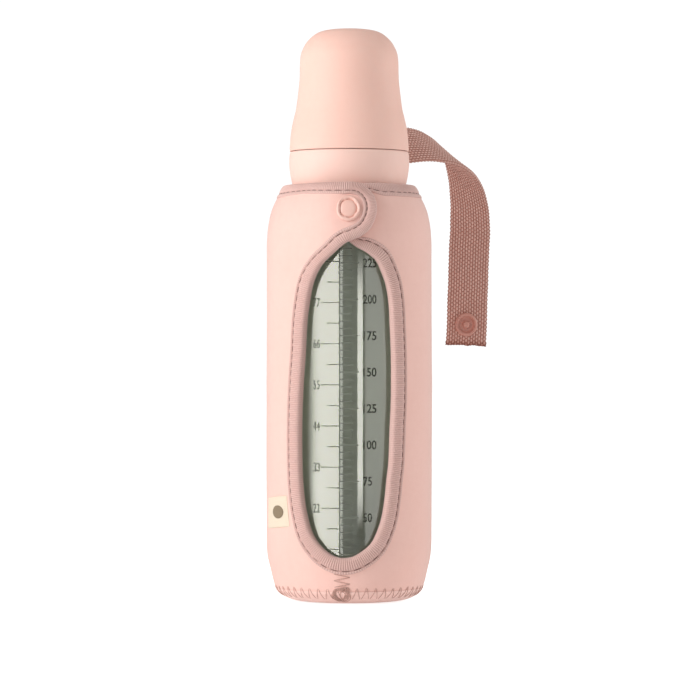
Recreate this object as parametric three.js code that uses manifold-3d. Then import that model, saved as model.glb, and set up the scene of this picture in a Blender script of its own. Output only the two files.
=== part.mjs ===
// Glass baby bottle in a soft neoprene sleeve with a snap closure tab and a webbing strap.
// Millimetres, +Z up, origin at the centre of the underside, front (closure side) towards -Y.
// Angles round the bottle are in degrees from the front, growing towards +X.
import * as THREE from "three";
import { mergeVertices } from "three/addons/utils/BufferGeometryUtils.js";
import Module from "manifold-3d";

const wasm = await Module();
wasm.setup();

// ---------- driving dimensions ----------
const NEOPRENE = 2.2; // thickness of the sleeve fabric
const EDGE_CUT = 1.35; // raw edge set back from the binding's fold
const SLEEVE_SEG = 48;
const NECK_SEG = 30;
const TEAT_SEG = 20;
const SNAP_SEG = 14;
const HINGE_DEG = -19.5; // sewn fold of the closure tab
const HINGE_GAP_DEG = 0.3; // half of the gap at the fold
const TAB_FROM = HINGE_DEG + HINGE_GAP_DEG;
const WRAP_TO = HINGE_DEG - HINGE_GAP_DEG;
const SNAP_R = 4.2; // visible snap parts
const LAP_R = 3.7; // hidden halves of the closure snap

// outside of the sleeve, seam to neck edge: radius, z
const SLEEVE = [
  [26.05, 4.0], [27.1, 6.5], [27.95, 9.9], [28.7, 13.2], [29.35, 16.4], [29.7, 21],
  [29.7, 128], [29.35, 133.6], [28.5, 138.2], [27.3, 141.8], [25.9, 144.5], [24.35, 147],
  [22.9, 149.2],
];
const STRAIGHT_LOW = 5; // index of the point where the wall becomes straight

// ---------- small helpers ----------
const RAD = Math.PI / 180;
const mix = (from, to, share) => from * (1 - share) + to * share;
const clamp01 = (value) => Math.min(1, Math.max(0, value));
const closed = (points) => [...points, points[0]];
const thereAndBack = (list, there, back) => [
  ...list.map(there),
  ...[...list].reverse().map(back),
];
const polar = (deg, radius, z) =>
  new THREE.Vector3(radius * Math.sin(deg * RAD), -radius * Math.cos(deg * RAD), z);

// the step of a rising list that holds a value, and the share of that step below it;
// the share leaves 0..1 beyond the ends of the list
function locate(stations, value) {
  let i = 0;
  while (i < stations.length - 2 && value > stations[i + 1]) i++;
  return [i, (value - stations[i]) / (stations[i + 1] - stations[i])];
}

// unit normals of a (radius, z) outline, to the right of its direction
function normalsOf(points) {
  const edgeNormals = points.slice(1).map(([radius, z], i) => {
    const across = radius - points[i][0];
    const rise = z - points[i][1];
    const length = Math.hypot(across, rise);
    return [rise / length, -across / length];
  });
  return points.map((_, i) => {
    const before = edgeNormals[Math.max(0, i - 1)];
    const after = edgeNormals[Math.min(edgeNormals.length - 1, i)];
    const radial = before[0] + after[0];
    const axial = before[1] + after[1];
    const length = Math.hypot(radial, axial);
    return [radial / length, axial / length];
  });
}

// ---------- the sleeve's surface ----------
// "run" is the distance up the sleeve's outline, counted so that it equals z on the straight wall
const fromSeam = [0];
for (let i = 1; i < SLEEVE.length; i++) {
  const [radius, z] = SLEEVE[i];
  fromSeam.push(fromSeam[i - 1] + Math.hypot(radius - SLEEVE[i - 1][0], z - SLEEVE[i - 1][1]));
}
const runShift = SLEEVE[STRAIGHT_LOW][1] - fromSeam[STRAIGHT_LOW];
const RUNS = fromSeam.map((distance) => distance + runShift);
const RUN_TOP = RUNS[RUNS.length - 1];
const SLEEVE_Z = SLEEVE.map(([, z]) => z);
const SLEEVE_NORMALS = normalsOf(SLEEVE);

function runOfZ(z) {
  const [i, share] = locate(SLEEVE_Z, z);
  return mix(RUNS[i], RUNS[i + 1], share);
}
const withRuns = (points) => points.map(([deg, z]) => [deg, runOfZ(z)]);

// radius and z of the sleeve's outside at a run, moved out along its normal
function outlineAt(run, out = 0) {
  const [i, share] = locate(RUNS, run);
  const [radial, axial] = [0, 1].map((j) =>
    mix(SLEEVE_NORMALS[i][j], SLEEVE_NORMALS[i + 1][j], clamp01(share)),
  );
  const length = Math.hypot(radial, axial);
  return [
    mix(SLEEVE[i][0], SLEEVE[i + 1][0], share) + (radial / length) * out,
    mix(SLEEVE[i][1], SLEEVE[i + 1][1], share) + (axial / length) * out,
  ];
}
const mmPerDegree = (run, proud = 0) => (outlineAt(run)[0] + proud) * RAD;
const onSleeve = (deg, run, out) => polar(deg, ...outlineAt(run, out));

// both ends and the outline's own points between them, leaving out any too close to an end
const MIN_STEP = 0.4;
const runsBetween = (low, high) => [
  low,
  ...RUNS.filter((run) => run > low + MIN_STEP && run < high - MIN_STEP),
  high,
];
const offsetOutline = (out, low, high) => runsBetween(low, high).map((run) => outlineAt(run, out));

// flat frame (x round the bottle, y up the run, out) laid on a surface at one place
const frameOn = (deg, run, surface, proud = 0) => (x, y, out) =>
  surface(deg + x / mmPerDegree(run, proud), run + y, out);

// ---------- solids ----------
// welds a geometry's vertices, drops empty triangles and turns it outside out
function solidFrom(source) {
  for (const name of Object.keys(source.attributes)) {
    if (name !== "position") source.deleteAttribute(name);
  }
  const geometry = mergeVertices(source, 1e-4);
  const index = geometry.index.array;
  const positions = geometry.attributes.position.array;
  const corner = (i) => new THREE.Vector3().fromArray(positions, i * 3);
  const triangles = [];
  let sixVolumes = 0;
  for (let i = 0; i < index.length; i += 3) {
    const [a, b, c] = index.slice(i, i + 3);
    if (a === b || b === c || c === a) continue;
    triangles.push([a, b, c]);
    sixVolumes += corner(a).dot(corner(b).cross(corner(c)));
  }
  const outward = sixVolumes < 0 ? triangles.map(([a, b, c]) => [a, c, b]) : triangles;
  return new wasm.Manifold(
    new wasm.Mesh({
      numProp: 3,
      vertProperties: new Float32Array(positions),
      triVerts: new Uint32Array(outward.flat()),
    }),
  );
}

function solidOf(vertices, faces) {
  const numbers = vertices.flatMap(({ x, y, z }) => [x, y, z]);
  return solidFrom(
    new THREE.BufferGeometry()
      .setAttribute("position", new THREE.Float32BufferAttribute(numbers, 3))
      .setIndex(faces.flat()),
  );
}

// (radius, z) outline turned about the bottle's axis
function lathe(points, segments) {
  const outline = points.map(([radius, z]) => new THREE.Vector2(radius, z));
  return solidFrom(new THREE.LatheGeometry(outline, segments).rotateX(Math.PI / 2));
}

// rings of matching points joined by quads; capped like the flat section unless it is a loop
const SQUARE = [[0, 0], [1, 0], [1, 1], [0, 1]];
function loft(rings, { section = SQUARE, loop = false } = {}) {
  const count = rings[0].length;
  const faces = [];
  for (let i = 0; i < (loop ? rings.length : rings.length - 1); i++) {
    const here = i * count;
    const next = ((i + 1) % rings.length) * count;
    for (let j = 0; j < count; j++) {
      const k = (j + 1) % count;
      faces.push([here + j, here + k, next + k], [here + j, next + k, next + j]);
    }
  }
  if (!loop) {
    const contour = section.map(([x, y]) => new THREE.Vector2(x, y));
    const counterclockwise = THREE.ShapeUtils.area(contour) > 0;
    const end = (rings.length - 1) * count;
    for (const [a, b, c] of THREE.ShapeUtils.triangulateShape(contour, [])) {
      const [second, third] = counterclockwise ? [c, b] : [b, c];
      faces.push([a, second, third], [a + end, third + end, second + end]);
    }
  }
  return solidOf(rings.flat(), faces);
}

// a closed outline of (degrees, run) pushed through the wall along its normals
const FLAT_MM_PER_DEG = 0.5; // near enough for flattening outlines
function prism(outline, low, high) {
  const flatten = (points) =>
    points.map(([deg, run]) => new THREE.Vector2(deg * FLAT_MM_PER_DEG, run));
  const counterclockwise = THREE.ShapeUtils.area(flatten(outline)) > 0;
  const ring = counterclockwise ? outline : [...outline].reverse();
  const count = ring.length;
  const faces = [];
  for (let i = 0; i < count; i++) {
    const j = (i + 1) % count;
    faces.push([i, j, j + count], [i, j + count, i + count]);
  }
  for (const [a, b, c] of THREE.ShapeUtils.triangulateShape(flatten(ring), [])) {
    faces.push([a, c, b], [a + count, b + count, c + count]);
  }
  const face = (out) => ring.map(([deg, run]) => onSleeve(deg, run, out));
  return solidOf([...face(low), ...face(high)], faces);
}

// a section of (distance from the middle, height) turned about the normal of a flat frame;
// points on the axis weld into one
function turned(points, frame, segments = SNAP_SEG) {
  const rings = points.map(([distance, height]) =>
    Array.from({ length: segments }, (_, k) => {
      const angle = (2 * Math.PI * k) / segments;
      return frame(distance * Math.cos(angle), distance * Math.sin(angle), height);
    }),
  );
  return loft(rings, { loop: true });
}

// flat disc or washer with edges at the given distances from its middle
const plate = (distances, low, high, frame, segments) =>
  turned(
    thereAndBack(distances, (distance) => [distance, low], (distance) => [distance, high]),
    frame,
    segments,
  );

// ---------- paths of (degrees, run) on the sleeve ----------
function smooth(points, step) {
  const curve = new THREE.CatmullRomCurve3(
    points.map(([deg, run]) => new THREE.Vector3(deg * FLAT_MM_PER_DEG, run, 0)),
    false,
    "centripetal",
  );
  const count = Math.max(2, Math.round(curve.getLength() / step));
  return curve.getSpacedPoints(count).map(({ x, y }) => [x / FLAT_MM_PER_DEG, y]);
}

// a path's point moved sideways into the fabric, which lies on its left seen from outside
function sideways(path, i, distance) {
  const before = path[Math.max(0, i - 1)];
  const after = path[Math.min(path.length - 1, i + 1)];
  const [deg, run] = path[i];
  const scale = mmPerDegree(run);
  const round = (after[0] - before[0]) * scale;
  const rise = after[1] - before[1];
  const length = Math.hypot(round, rise);
  return [deg - (distance * rise) / length / scale, run + (distance * round) / length];
}
const inset = (path, distance) => path.map((_, i) => sideways(path, i, distance));

// ---------- free edge of the sleeve: neck edge, lapped end, then round the window ----------
const NECK_END = -352; // the neck edge runs round the back to here
const NECK_STEPS = 40;
const SIDE_STEP = 3.1;
// degrees, z
const LAP_EDGE = [
  [-358.6, 149.1], [-364.0, 148.8], [-366.9, 146.9], [-368.8, 142.8], [-368.6, 137.6],
  [-366.6, 132.3], [-361.7, 129.0],
];
// degrees, z; the last two points meet the tab's fold and run past it
const WINDOW_EDGE = [
  [-355.5, 126.4], [-347.7, 124.3], [-340.6, 121.4], [-336, 117.1], [-332.6, 112.9],
  [-330.2, 106.5], [-329.0, 97.1], [-328.2, 88.5], [-328, 79.9], [-328.2, 71.4],
  [-329.2, 62.8], [-330.4, 50.0], [-331.9, 44.5], [-333.7, 37.1], [-336.2, 30.7],
  [-340, 25.7], [-344.4, 21.9], [-351.2, 18.9], [-358.1, 17.1], [-364.9, 16.7],
  [-370.9, 17.4], [-377.1, 19.4], [-383.5, 22.7], [-388.3, 26.5], [-392.3, 32.8],
  [-394.5, 38.4], [-396, 45.8], [-396.5, 54.3], [-396.5, 62.8], [-396, 71.4],
  [-394.9, 79.9], [-393.3, 88.5], [-391.8, 100.1], [-389.8, 106.5], [-387.5, 112.0],
  [-384.2, 116.2], [-379.5, 119.9], [-373.5, 122.7],
];
const neckPath = Array.from({ length: NECK_STEPS }, (_, i) => [
  mix(WRAP_TO, NECK_END, i / NECK_STEPS),
  RUN_TOP,
]);
const sidePath = smooth(
  [[NECK_END, RUN_TOP], ...withRuns(LAP_EDGE), ...withRuns(WINDOW_EDGE)],
  SIDE_STEP,
);
const edgePath = [...neckPath, ...sidePath];

// cutter between two angles, from below the tab's fold to above the neck edge
const OVER_NECK = 9;
function foldSlot(from, to) {
  const low = runOfZ(116);
  const high = RUN_TOP + OVER_NECK;
  return prism([[from, low], [to, low], [to, high], [from, high]], -7, 9);
}

// ---------- closure tab's surface, and where the closure snap sits ----------
const TAB_LIFT = 3.5; // the tab lies over the other end of the sleeve
const RAMP_DEG = 7.4; // angle over which it rises from the fold
const ramp = (deg) => {
  const share = clamp01((deg - TAB_FROM) / RAMP_DEG);
  return TAB_LIFT * share * share * (3 - 2 * share);
};
const onTab = (deg, run, out) => onSleeve(deg, run, out + ramp(deg));

const SNAP_DEG = -0.6;
const SNAP_RUN = runOfZ(139.6);
const lapFrame = frameOn(SNAP_DEG, SNAP_RUN, onSleeve);
const tabFrame = frameOn(SNAP_DEG, SNAP_RUN, onTab, TAB_LIFT);

// ---------- binding tape ----------
const TAPE = 0.3; // thickness of the tape
const TAPE_IN = 0.15; // tape to fabric, inside
const TAPE_OUT = 0.25; // tape to fabric, outside
const WEB = 1.0; // tape folded over the raw edge
const BIND_WIDE = 5.6; // width round the window
const BIND_TOP = 4.8; // width round the neck
const BIND_TAB = 4.4; // width on the tab
const BIND_LAP = 3.2; // width on the covered end

// U section over the raw edge, (distance into the fabric, out), each face in equal parts
function bindingSection(width, parts) {
  const row = (from, to, out) =>
    Array.from({ length: parts + 1 }, (_, k) => [from + ((to - from) * k) / parts, out]);
  const inner = -NEOPRENE - TAPE_IN;
  return [
    ...row(0, width, TAPE_OUT + TAPE),
    ...row(width, WEB, TAPE_OUT),
    ...row(WEB, width, inner),
    ...row(width, 0, inner - TAPE),
  ];
}

function binding(path, widthAt, surface, parts) {
  const rings = path.map((_, i) =>
    bindingSection(widthAt(i), parts).map(([distance, out]) =>
      surface(...sideways(path, i, distance), out),
    ),
  );
  return loft(rings, { section: bindingSection(widthAt(0), parts) });
}

// the binding narrows at the end of the neck edge and widens again below the lapped end
const LAP_FROM_DEG = -354;
const LAP_LOW_RUN = 128;
const WIDEN_RUN = 6;
function edgeWidth(i) {
  const narrowFrom = NECK_STEPS - 2;
  if (i < narrowFrom) return BIND_TOP;
  const [deg, run] = edgePath[i];
  if (run <= LAP_LOW_RUN) {
    return mix(BIND_LAP, BIND_WIDE, clamp01((LAP_LOW_RUN - run) / WIDEN_RUN));
  }
  return deg < LAP_FROM_DEG ? BIND_LAP : mix(BIND_TOP, BIND_LAP, clamp01((i - narrowFrom) / 3));
}

// open at the tab's fold and round the closure stud
const edgeBinding = () =>
  binding(edgePath, edgeWidth, onSleeve, 1)
    .subtract(foldSlot(WRAP_TO, -13.2))
    .subtract(plate([0, LAP_R + 0.25], -4, 2, lapFrame, 20));

// ---------- sleeve ----------
function sleeveWrap() {
  const top = RUN_TOP - EDGE_CUT;
  const shell = lathe(
    closed([
      ...offsetOutline(0, RUNS[0], top),
      ...offsetOutline(-NEOPRENE, RUNS[0], top).reverse(),
    ]),
    SLEEVE_SEG,
  );
  // the raw edge of the window, without the points that crowd the tab's fold
  const rawEdge = inset(sidePath, EDGE_CUT).filter(([deg, run]) => deg > -379.9 || run < 119.5);
  const nearFold = ([deg, run]) => deg > -380 && deg < -372 && run > 119 && run < 126;
  const foldDeg = WRAP_TO - 360;
  const opening = [
    [NECK_END + 0.6, RUN_TOP + OVER_NECK],
    [NECK_END + 0.6, top],
    ...rawEdge.slice(1).filter((point) => !nearFold(point)),
    [foldDeg, rawEdge[rawEdge.length - 1][1]],
    [foldDeg, RUN_TOP + OVER_NECK],
  ];
  return shell.subtract(prism(opening, -9, 14));
}

// radius, z
const BASE = [
  [0, 0], [20.6, 0], [22.4, 0.35], [23.9, 1.2], [25.1, 2.5], [25.86, 3.72],
  [23.85, 4.45], [23.1, 3.4], [22.2, 2.75], [20.4, 2.4], [0, 2.4],
];

// ---------- closure tab ----------
const TAB_EASE = 0.18; // the tab is pressed a little thinner than the wall, on each face
// degrees as if the tab lay on the sleeve, z; from below the fold round to the neck edge
const TAB_EDGE = [
  [-24, 118], [-17.7, 120.9], [-11.1, 123.9], [-2.7, 127.5], [1.9, 128.6], [7.8, 130.1],
  [13, 132.4], [16.4, 135.4], [18.7, 138.9], [19.1, 141.8], [17.8, 144.4], [13.8, 146.9],
  [8.6, 148.4], [1.9, 149.1], [-6.5, 149.15], [-13, 149.2], [-19.2, 149.2], [-24, 149.2],
];

// keeps a point's x where the tab stands proud, so its angle narrows
function narrowed([flatDeg, run]) {
  const radius = outlineAt(run)[0];
  const x = radius * Math.sin(flatDeg * RAD);
  let deg = flatDeg;
  for (let i = 0; i < 20; i++) deg = Math.asin(x / (radius + ramp(deg))) / RAD;
  return [deg, run];
}

// every point is kept near the fold, one in four beyond it
const tabPath = smooth(withRuns(TAB_EDGE).map(narrowed), 0.65).filter(
  ([deg], i, all) => i % (deg < -10 ? 1 : 4) === 0 || i === all.length - 1,
);

const tabBinding = () =>
  binding(tabPath, () => BIND_TAB, onTab, 3).subtract(foldSlot(-32, TAB_FROM));

function closureTab() {
  const rampSteps = 8;
  const flatSteps = 6;
  const flatDeg = 26; // blank beyond the ramp
  const runs = runsBetween(runOfZ(117), RUN_TOP + 1.5);
  const rings = [];
  for (let i = 0; i <= rampSteps + flatSteps; i++) {
    const fromFold =
      i < rampSteps
        ? (i / rampSteps) * RAMP_DEG
        : RAMP_DEG + ((i - rampSteps) / flatSteps) * flatDeg;
    const face = (out) => (run) => onTab(TAB_FROM + fromFold, run, out);
    rings.push(thereAndBack(runs, face(-TAB_EASE), face(TAB_EASE - NEOPRENE)));
  }
  const blank = loft(rings, {
    section: thereAndBack(runs, (run) => [run, 1], (run) => [run, 0]),
  });
  const outline = inset(tabPath, EDGE_CUT).filter(([deg]) => deg > TAB_FROM - 4.5);
  return blank
    .intersect(prism(outline, -8, 18))
    .subtract(plate([0, 1.8], -NEOPRENE - 1, -NEOPRENE + 1, tabFrame, 12));
}

// ---------- snap parts, as sections of (distance from the middle, height) ----------
const TAB_RING = [
  [2.95, 0.12], [SNAP_R - 0.25, 0.12], [SNAP_R, 0.4], [SNAP_R - 0.3, 0.85], [3.55, 1.0],
  [3.1, 0.8],
];
const LAP_STUD = [
  [0, 0.15], [1.9, 0.15], [LAP_R, 0.15], [LAP_R, 0.5], [1.9, 0.5], [1.25, 0.5], [1.3, 1.4],
  [1.1, 1.9], [0, 1.9],
];
const STRAP_STUD = [
  [0, 0.12], [4.1, 0.12], [4.15, 0.45], [3.9, 0.75], [3.3, 0.8], [2.4, 0.45], [1.35, 0.5],
  [1.1, 1.5], [0.8, 1.75], [0, 1.8],
];
const STRAP_CAP = [[0, 0.12], [4.1, 0.12], [4.15, 0.45], [3.8, 0.8], [2.5, 1.05], [0, 1.15]];
// heights above the strap patch
const ROOT_SOCKET = [
  [1.4, 0.12], [SNAP_R, 0.12], [SNAP_R + 0.05, 0.5], [3.5, 1.0], [2.2, 1.3], [1.4, 1.2],
];
const tabSnapSocket = () =>
  plate([1.85, 3, LAP_R], -NEOPRENE - 0.12, -NEOPRENE - 0.45, tabFrame);
const lapSnapRing = () => plate([2.4, LAP_R], -NEOPRENE - 0.15, -NEOPRENE - 0.5, lapFrame);

// ---------- bottle ----------
const NECK_R = 17.2;
const BORE_R = 14.4; // mouth of the bottle
const RIM_Z = 158.5;
const GLASS_SET = 2.95; // sleeve outside to glass outside
const GLASS_IN_SET = 4.72; // sleeve outside to glass inside
const THREAD_PITCH = 5;
const THREAD_Z = 150.3; // start of the neck thread

// raised helix of trapezoid section, fading in and out over its first and last steps
function screwThread({ root, crest, halfRoot, halfCrest, startZ, turns }) {
  const count = Math.round(turns * NECK_SEG);
  const rings = [];
  for (let i = 0; i <= count; i++) {
    const deg = (i / count) * turns * 360;
    const z = startZ + (THREAD_PITCH * deg) / 360;
    const fade = Math.min(1, Math.min(i, count - i) / 4 + 0.15);
    const tip = root + (crest - root) * fade;
    rings.push([
      polar(deg, root, z - halfRoot),
      polar(deg, tip, z - halfCrest),
      polar(deg, tip, z + halfCrest),
      polar(deg, root, z + halfRoot),
    ]);
  }
  return loft(rings, { section: [[0, 0], [1, 0.2], [1, 0.8], [0, 1]] });
}

function glassBottle() {
  const outside = [
    [0, 5.0], [14.5, 4.6], [16.8, 3.6], [18.4, 3.3], [20.6, 3.5], [22.6, 4.8],
    ...offsetOutline(-GLASS_SET, runOfZ(8.4), RUN_TOP),
    [19.2, 147.9], [17.9, 148.2], [NECK_R, 149.0], [NECK_R, RIM_Z - 0.4], [NECK_R - 0.5, RIM_Z],
  ];
  const inside = [
    [BORE_R + 0.4, RIM_Z], [BORE_R, RIM_Z - 0.5], [BORE_R, 151.5], [15.4, 148.6], [17.2, 147.3],
    ...offsetOutline(-GLASS_IN_SET, runOfZ(21), runOfZ(147)).reverse(),
    [24.5, 14.2], [22.6, 9.2], [19, 7.3], [0, 6.7],
  ];
  return lathe([...outside, ...inside], NECK_SEG).add(
    screwThread({
      root: NECK_R - 0.4,
      crest: 18.45,
      halfRoot: 1.0,
      halfCrest: 0.5,
      startZ: THREAD_Z,
      turns: 1.25,
    }),
  );
}

// ---------- feeding teat: radius, z ----------
const NIPPLE = [
  [18.5, 158.8], [18.5, 160.15], [14.4, 160.2], [13.7, 160.6], [13.7, 162.4], [15.1, 163.0],
  [14.9, 164.8], [13.4, 169], [10.4, 173.8], [8.6, 177.5], [8.2, 180.5], [8.7, 183.8],
  [10.0, 187.8], [10.1, 191], [8.9, 194.4], [6.1, 196.9], [2.5, 198], [0.5, 198.1],
  [0.5, 196.6], [3.4, 196.3], [6.9, 194.1], [8.4, 190.5], [7.2, 184.7], [6.6, 179.5],
  [8.6, 173.6], [12.1, 167.2], [12.1, 158.8],
];

// ---------- screw collar: radius, z ----------
const COLLAR_BORE = 19.2;
const COLLAR = [
  [20.2, 148.95], [20.5, 149.8], [21.0, 152], [21.5, 155], [21.6, 157], [21.5, 159.5],
  [21.3, 161.0], [21.1, 161.2], [19.55, 161.2], [19.55, 164.9], [19.3, 165.2], [17.8, 165.2],
  [17.6, 165.0], [17.6, 162.4], [14.2, 162.4], [14.2, 160.5], [COLLAR_BORE, 160.5],
  [COLLAR_BORE, 149.15], [19.4, 148.95],
];
const collarRing = () =>
  lathe(closed(COLLAR), NECK_SEG).add(
    screwThread({
      root: COLLAR_BORE + 0.4,
      crest: 17.95,
      halfRoot: 1.0,
      halfCrest: 0.45,
      startZ: THREAD_Z + THREAD_PITCH / 2,
      turns: 1,
    }),
  );

// ---------- dome cap ----------
const CAP_WALL = 1.6;
const CAP_TOP = 205.4;
// outside: radius, z
const CAP = [
  [21.4, 161.5], [21.4, 163.2], [20.95, 168.3], [20.1, 172.6], [19.15, 177], [18.4, 182.4],
  [17.85, 187.6], [17.75, 193.6], [17.1, 197.5], [15.5, 200.4], [13.1, 202.9], [9.6, 204.6],
  [5, 205.3], [0, CAP_TOP],
];
function domeCap() {
  const normals = normalsOf(CAP);
  // the inside follows every second point of the outside
  const inside = [11, 9, 7, 5].map((i) => [0, 1].map((j) => CAP[i][j] - normals[i][j] * CAP_WALL));
  return lathe(
    closed([
      ...CAP, [0, CAP_TOP - CAP_WALL], ...inside,
      [19.3, 168.4], [19.85, 166], [19.85, 161.5],
    ]),
    NECK_SEG,
  );
}

// ---------- side label, its two long edges climbing slightly ----------
function sideLabel() {
  const steps = 6;
  const rings = [];
  for (let i = 0; i <= steps; i++) {
    const deg = -73 + (i / steps) * 27;
    const climb = 1.25 * (i / steps - 0.5);
    const low = runOfZ(25.6 + climb);
    const high = runOfZ(38.0 + climb);
    rings.push([
      onSleeve(deg, low, 0.12),
      onSleeve(deg, high, 0.12),
      onSleeve(deg, high, 0.55),
      onSleeve(deg, low, 0.55),
    ]);
  }
  return loft(rings);
}

// ---------- stitching ----------
// thread of square section through points of (degrees, run, out), mitred at its corners
function stitch(points, half, surface, loop) {
  const centres = points.map((point) => surface(...point));
  const count = centres.length;
  const rings = centres.map((centre, i) => {
    const before = centres[loop ? (i + count - 1) % count : Math.max(0, i - 1)];
    const after = centres[loop ? (i + 1) % count : Math.min(count - 1, i + 1)];
    const [deg, run] = points[i];
    const up = surface(deg, run, 2).sub(surface(deg, run, 1)).normalize();
    const arriving = centre.clone().sub(before);
    const leaving = after.clone().sub(centre);
    // an open end has only one direction
    if (arriving.length() < 1e-6) arriving.copy(leaving);
    if (leaving.length() < 1e-6) leaving.copy(arriving);
    const sideIn = arriving.normalize().cross(up).normalize();
    const sideOut = leaving.normalize().cross(up).normalize();
    const side = sideIn.clone().add(sideOut).normalize();
    const miter = Math.min(1.8, 1 / Math.max(0.3, side.dot(sideIn)));
    return [[-1, -1], [1, -1], [1, 1], [-1, 1]].map(([x, y]) =>
      centre.clone().addScaledVector(side, x * half * miter).addScaledVector(up, y * half),
    );
  });
  return loft(rings, { loop });
}

// the underside's edge and the sleeve just above the seam: radius, z
const SEAM = [[22.4, 0.35], [23.9, 1.2], [25.1, 2.5], [26.05, 4.0], [26.75, 5.6], [27.35, 7.5]];
const SEAM_NORMALS = normalsOf(SEAM);
// place counts along the points of SEAM
function onSeam(deg, place, out) {
  const i = Math.min(SEAM.length - 2, Math.floor(place));
  const [radius, z] = [0, 1].map(
    (j) =>
      mix(SEAM[i][j], SEAM[i + 1][j], place - i) +
      mix(SEAM_NORMALS[i][j], SEAM_NORMALS[i + 1][j], place - i) * out,
  );
  return polar(deg, radius, z);
}

const SEAM_THREAD_HALF = 0.22;
const ZIGZAGS = 48;
function baseSeamThread() {
  const corners = ZIGZAGS * 2;
  const points = Array.from({ length: corners }, (_, i) => [
    (i * 360) / corners,
    i % 2 ? 1.55 : 4.35,
    0.72,
  ]);
  return stitch(points, SEAM_THREAD_HALF, onSeam, true);
}
function frontSeamThread() {
  const points = Array.from({ length: 4 }, (_, i) => [
    -5.5 + (i % 2 ? 5.6 : -5.6),
    runOfZ(7.2 + i * 0.95),
    0.7,
  ]);
  return stitch(points, SEAM_THREAD_HALF, onSleeve, false);
}

// ---------- strap: a ribbon with two folds, then falling straight down ----------
const STRAP_W = 15.5;
const STRAP_T = 1.5;
// distances along the ribbon
const FOLDS_MEET = -20.7;
const ARCH_FROM = -40.6;
const HANG_AT = 63;
const HANG_GAP = 0.4; // half of the gap between arch and drop
const STRAP_END = 103;
const STRAP_SNAP_AT = 94.7;
const MEET_POINT = [-0.5, 25.9, 160.9];
const RIBBON_STEP = 0.5;
// each fold is half a turn about an axis in the XZ plane
// lean: angle of the ribbon to that axis; depth: share of the turn's reach in y
// side: which way the width runs, so that the second fold carries on the first
const FIRST_FOLD = {
  axisDeg: 50.35, leanDeg: 39.65, depth: 0.3, from: FOLDS_MEET - 22, length: 22, side: -1,
};
const SECOND_FOLD = {
  axisDeg: -40.63, leanDeg: 51.32, depth: 0.5, from: FOLDS_MEET, length: 91.9, side: 1,
};
// x and z spread from (0, SPREAD_Z) in proportion to y, doubling at SPREAD_Y
const SPREAD_Y = 1228;
const SPREAD_Z = 90;

function foldDirection({ axisDeg, depth }, turn, onAxis, offAxis) {
  const cos = Math.cos(axisDeg * RAD);
  const sin = Math.sin(axisDeg * RAD);
  const swing = offAxis * Math.cos(turn);
  return [
    onAxis * cos - swing * sin,
    offAxis * Math.sin(turn) * depth,
    onAxis * sin + swing * cos,
  ];
}
function spread([x, y, z]) {
  const scale = 1 + y / SPREAD_Y;
  return [x * scale, y, SPREAD_Z + (z - SPREAD_Z) * scale];
}
// stations of the ribbon from the folds' meeting point, forwards or backwards
function wind(fold, step, end) {
  const cos = Math.cos(fold.leanDeg * RAD);
  const sin = Math.sin(fold.leanDeg * RAD);
  const stations = [];
  let centre = MEET_POINT;
  for (let at = FOLDS_MEET; (end - at) * step >= 0; at += step) {
    const turn = Math.PI * clamp01((at - fold.from) / fold.length);
    const along = foldDirection(fold, turn, cos, sin);
    const across = foldDirection(fold, turn, -sin, cos).map((value) => value * fold.side);
    stations.push({ at, centre: spread(centre), along, across });
    centre = centre.map((value, i) => value + along[i] * step);
  }
  return stations;
}
const ribbon = [
  ...wind(FIRST_FOLD, -RIBBON_STEP, FIRST_FOLD.from).slice(1).reverse(),
  ...wind(SECOND_FOLD, RIBBON_STEP, STRAP_END),
];
const ribbonStations = ribbon.map(({ at }) => at);

function onStrap(at, x, out) {
  const [i, share] = locate(ribbonStations, at);
  const between = (key) =>
    new THREE.Vector3(...ribbon[i][key].map((v, j) => mix(v, ribbon[i + 1][key][j], share)));
  const across = between("across");
  const normal = between("along").cross(across).normalize();
  return between("centre").addScaledVector(across, x).addScaledVector(normal, out);
}
function strapPiece(from, to, step) {
  const count = Math.ceil((to - from) / step);
  const rings = Array.from({ length: count + 1 }, (_, i) =>
    [[-1, -1], [1, -1], [1, 1], [-1, 1]].map(([x, y]) =>
      onStrap(from + ((to - from) * i) / count, (x * STRAP_W) / 2, (y * STRAP_T) / 2),
    ),
  );
  return loft(rings);
}
// flat frames on the front and back faces of the hanging end
const strapFront = (x, y, out) => onStrap(STRAP_SNAP_AT - y, x, -STRAP_T / 2 - out);
const strapBack = (x, y, out) => onStrap(STRAP_SNAP_AT + y, x, STRAP_T / 2 + out);

// ---------- strap patch on the back of the sleeve ----------
const ROOT_DEG = 206.9;
const ROOT_OFF = 0.85; // patch above the sleeve
const ROOT_FACE = ROOT_OFF + STRAP_T;
const rootFrame = frameOn(ROOT_DEG, runOfZ(133), onSleeve);

function strapRoot() {
  const columns = [0, 1, 2, 3, 4, 5, 6];
  const rings = runsBetween(runOfZ(117), RUN_TOP + 0.2).map((run) => {
    const half = STRAP_W / 2 / mmPerDegree(run);
    const face = (out) => (j) => onSleeve(ROOT_DEG - half + (j / 3) * half, run, out);
    return thereAndBack(columns, face(ROOT_OFF), face(ROOT_FACE));
  });
  return loft(rings, { section: thereAndBack(columns, (j) => [j, 0], (j) => [j, 1]) });
}
const rootSnapSocket = () =>
  turned(ROOT_SOCKET.map(([distance, height]) => [distance, ROOT_FACE + height]), rootFrame);

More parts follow.
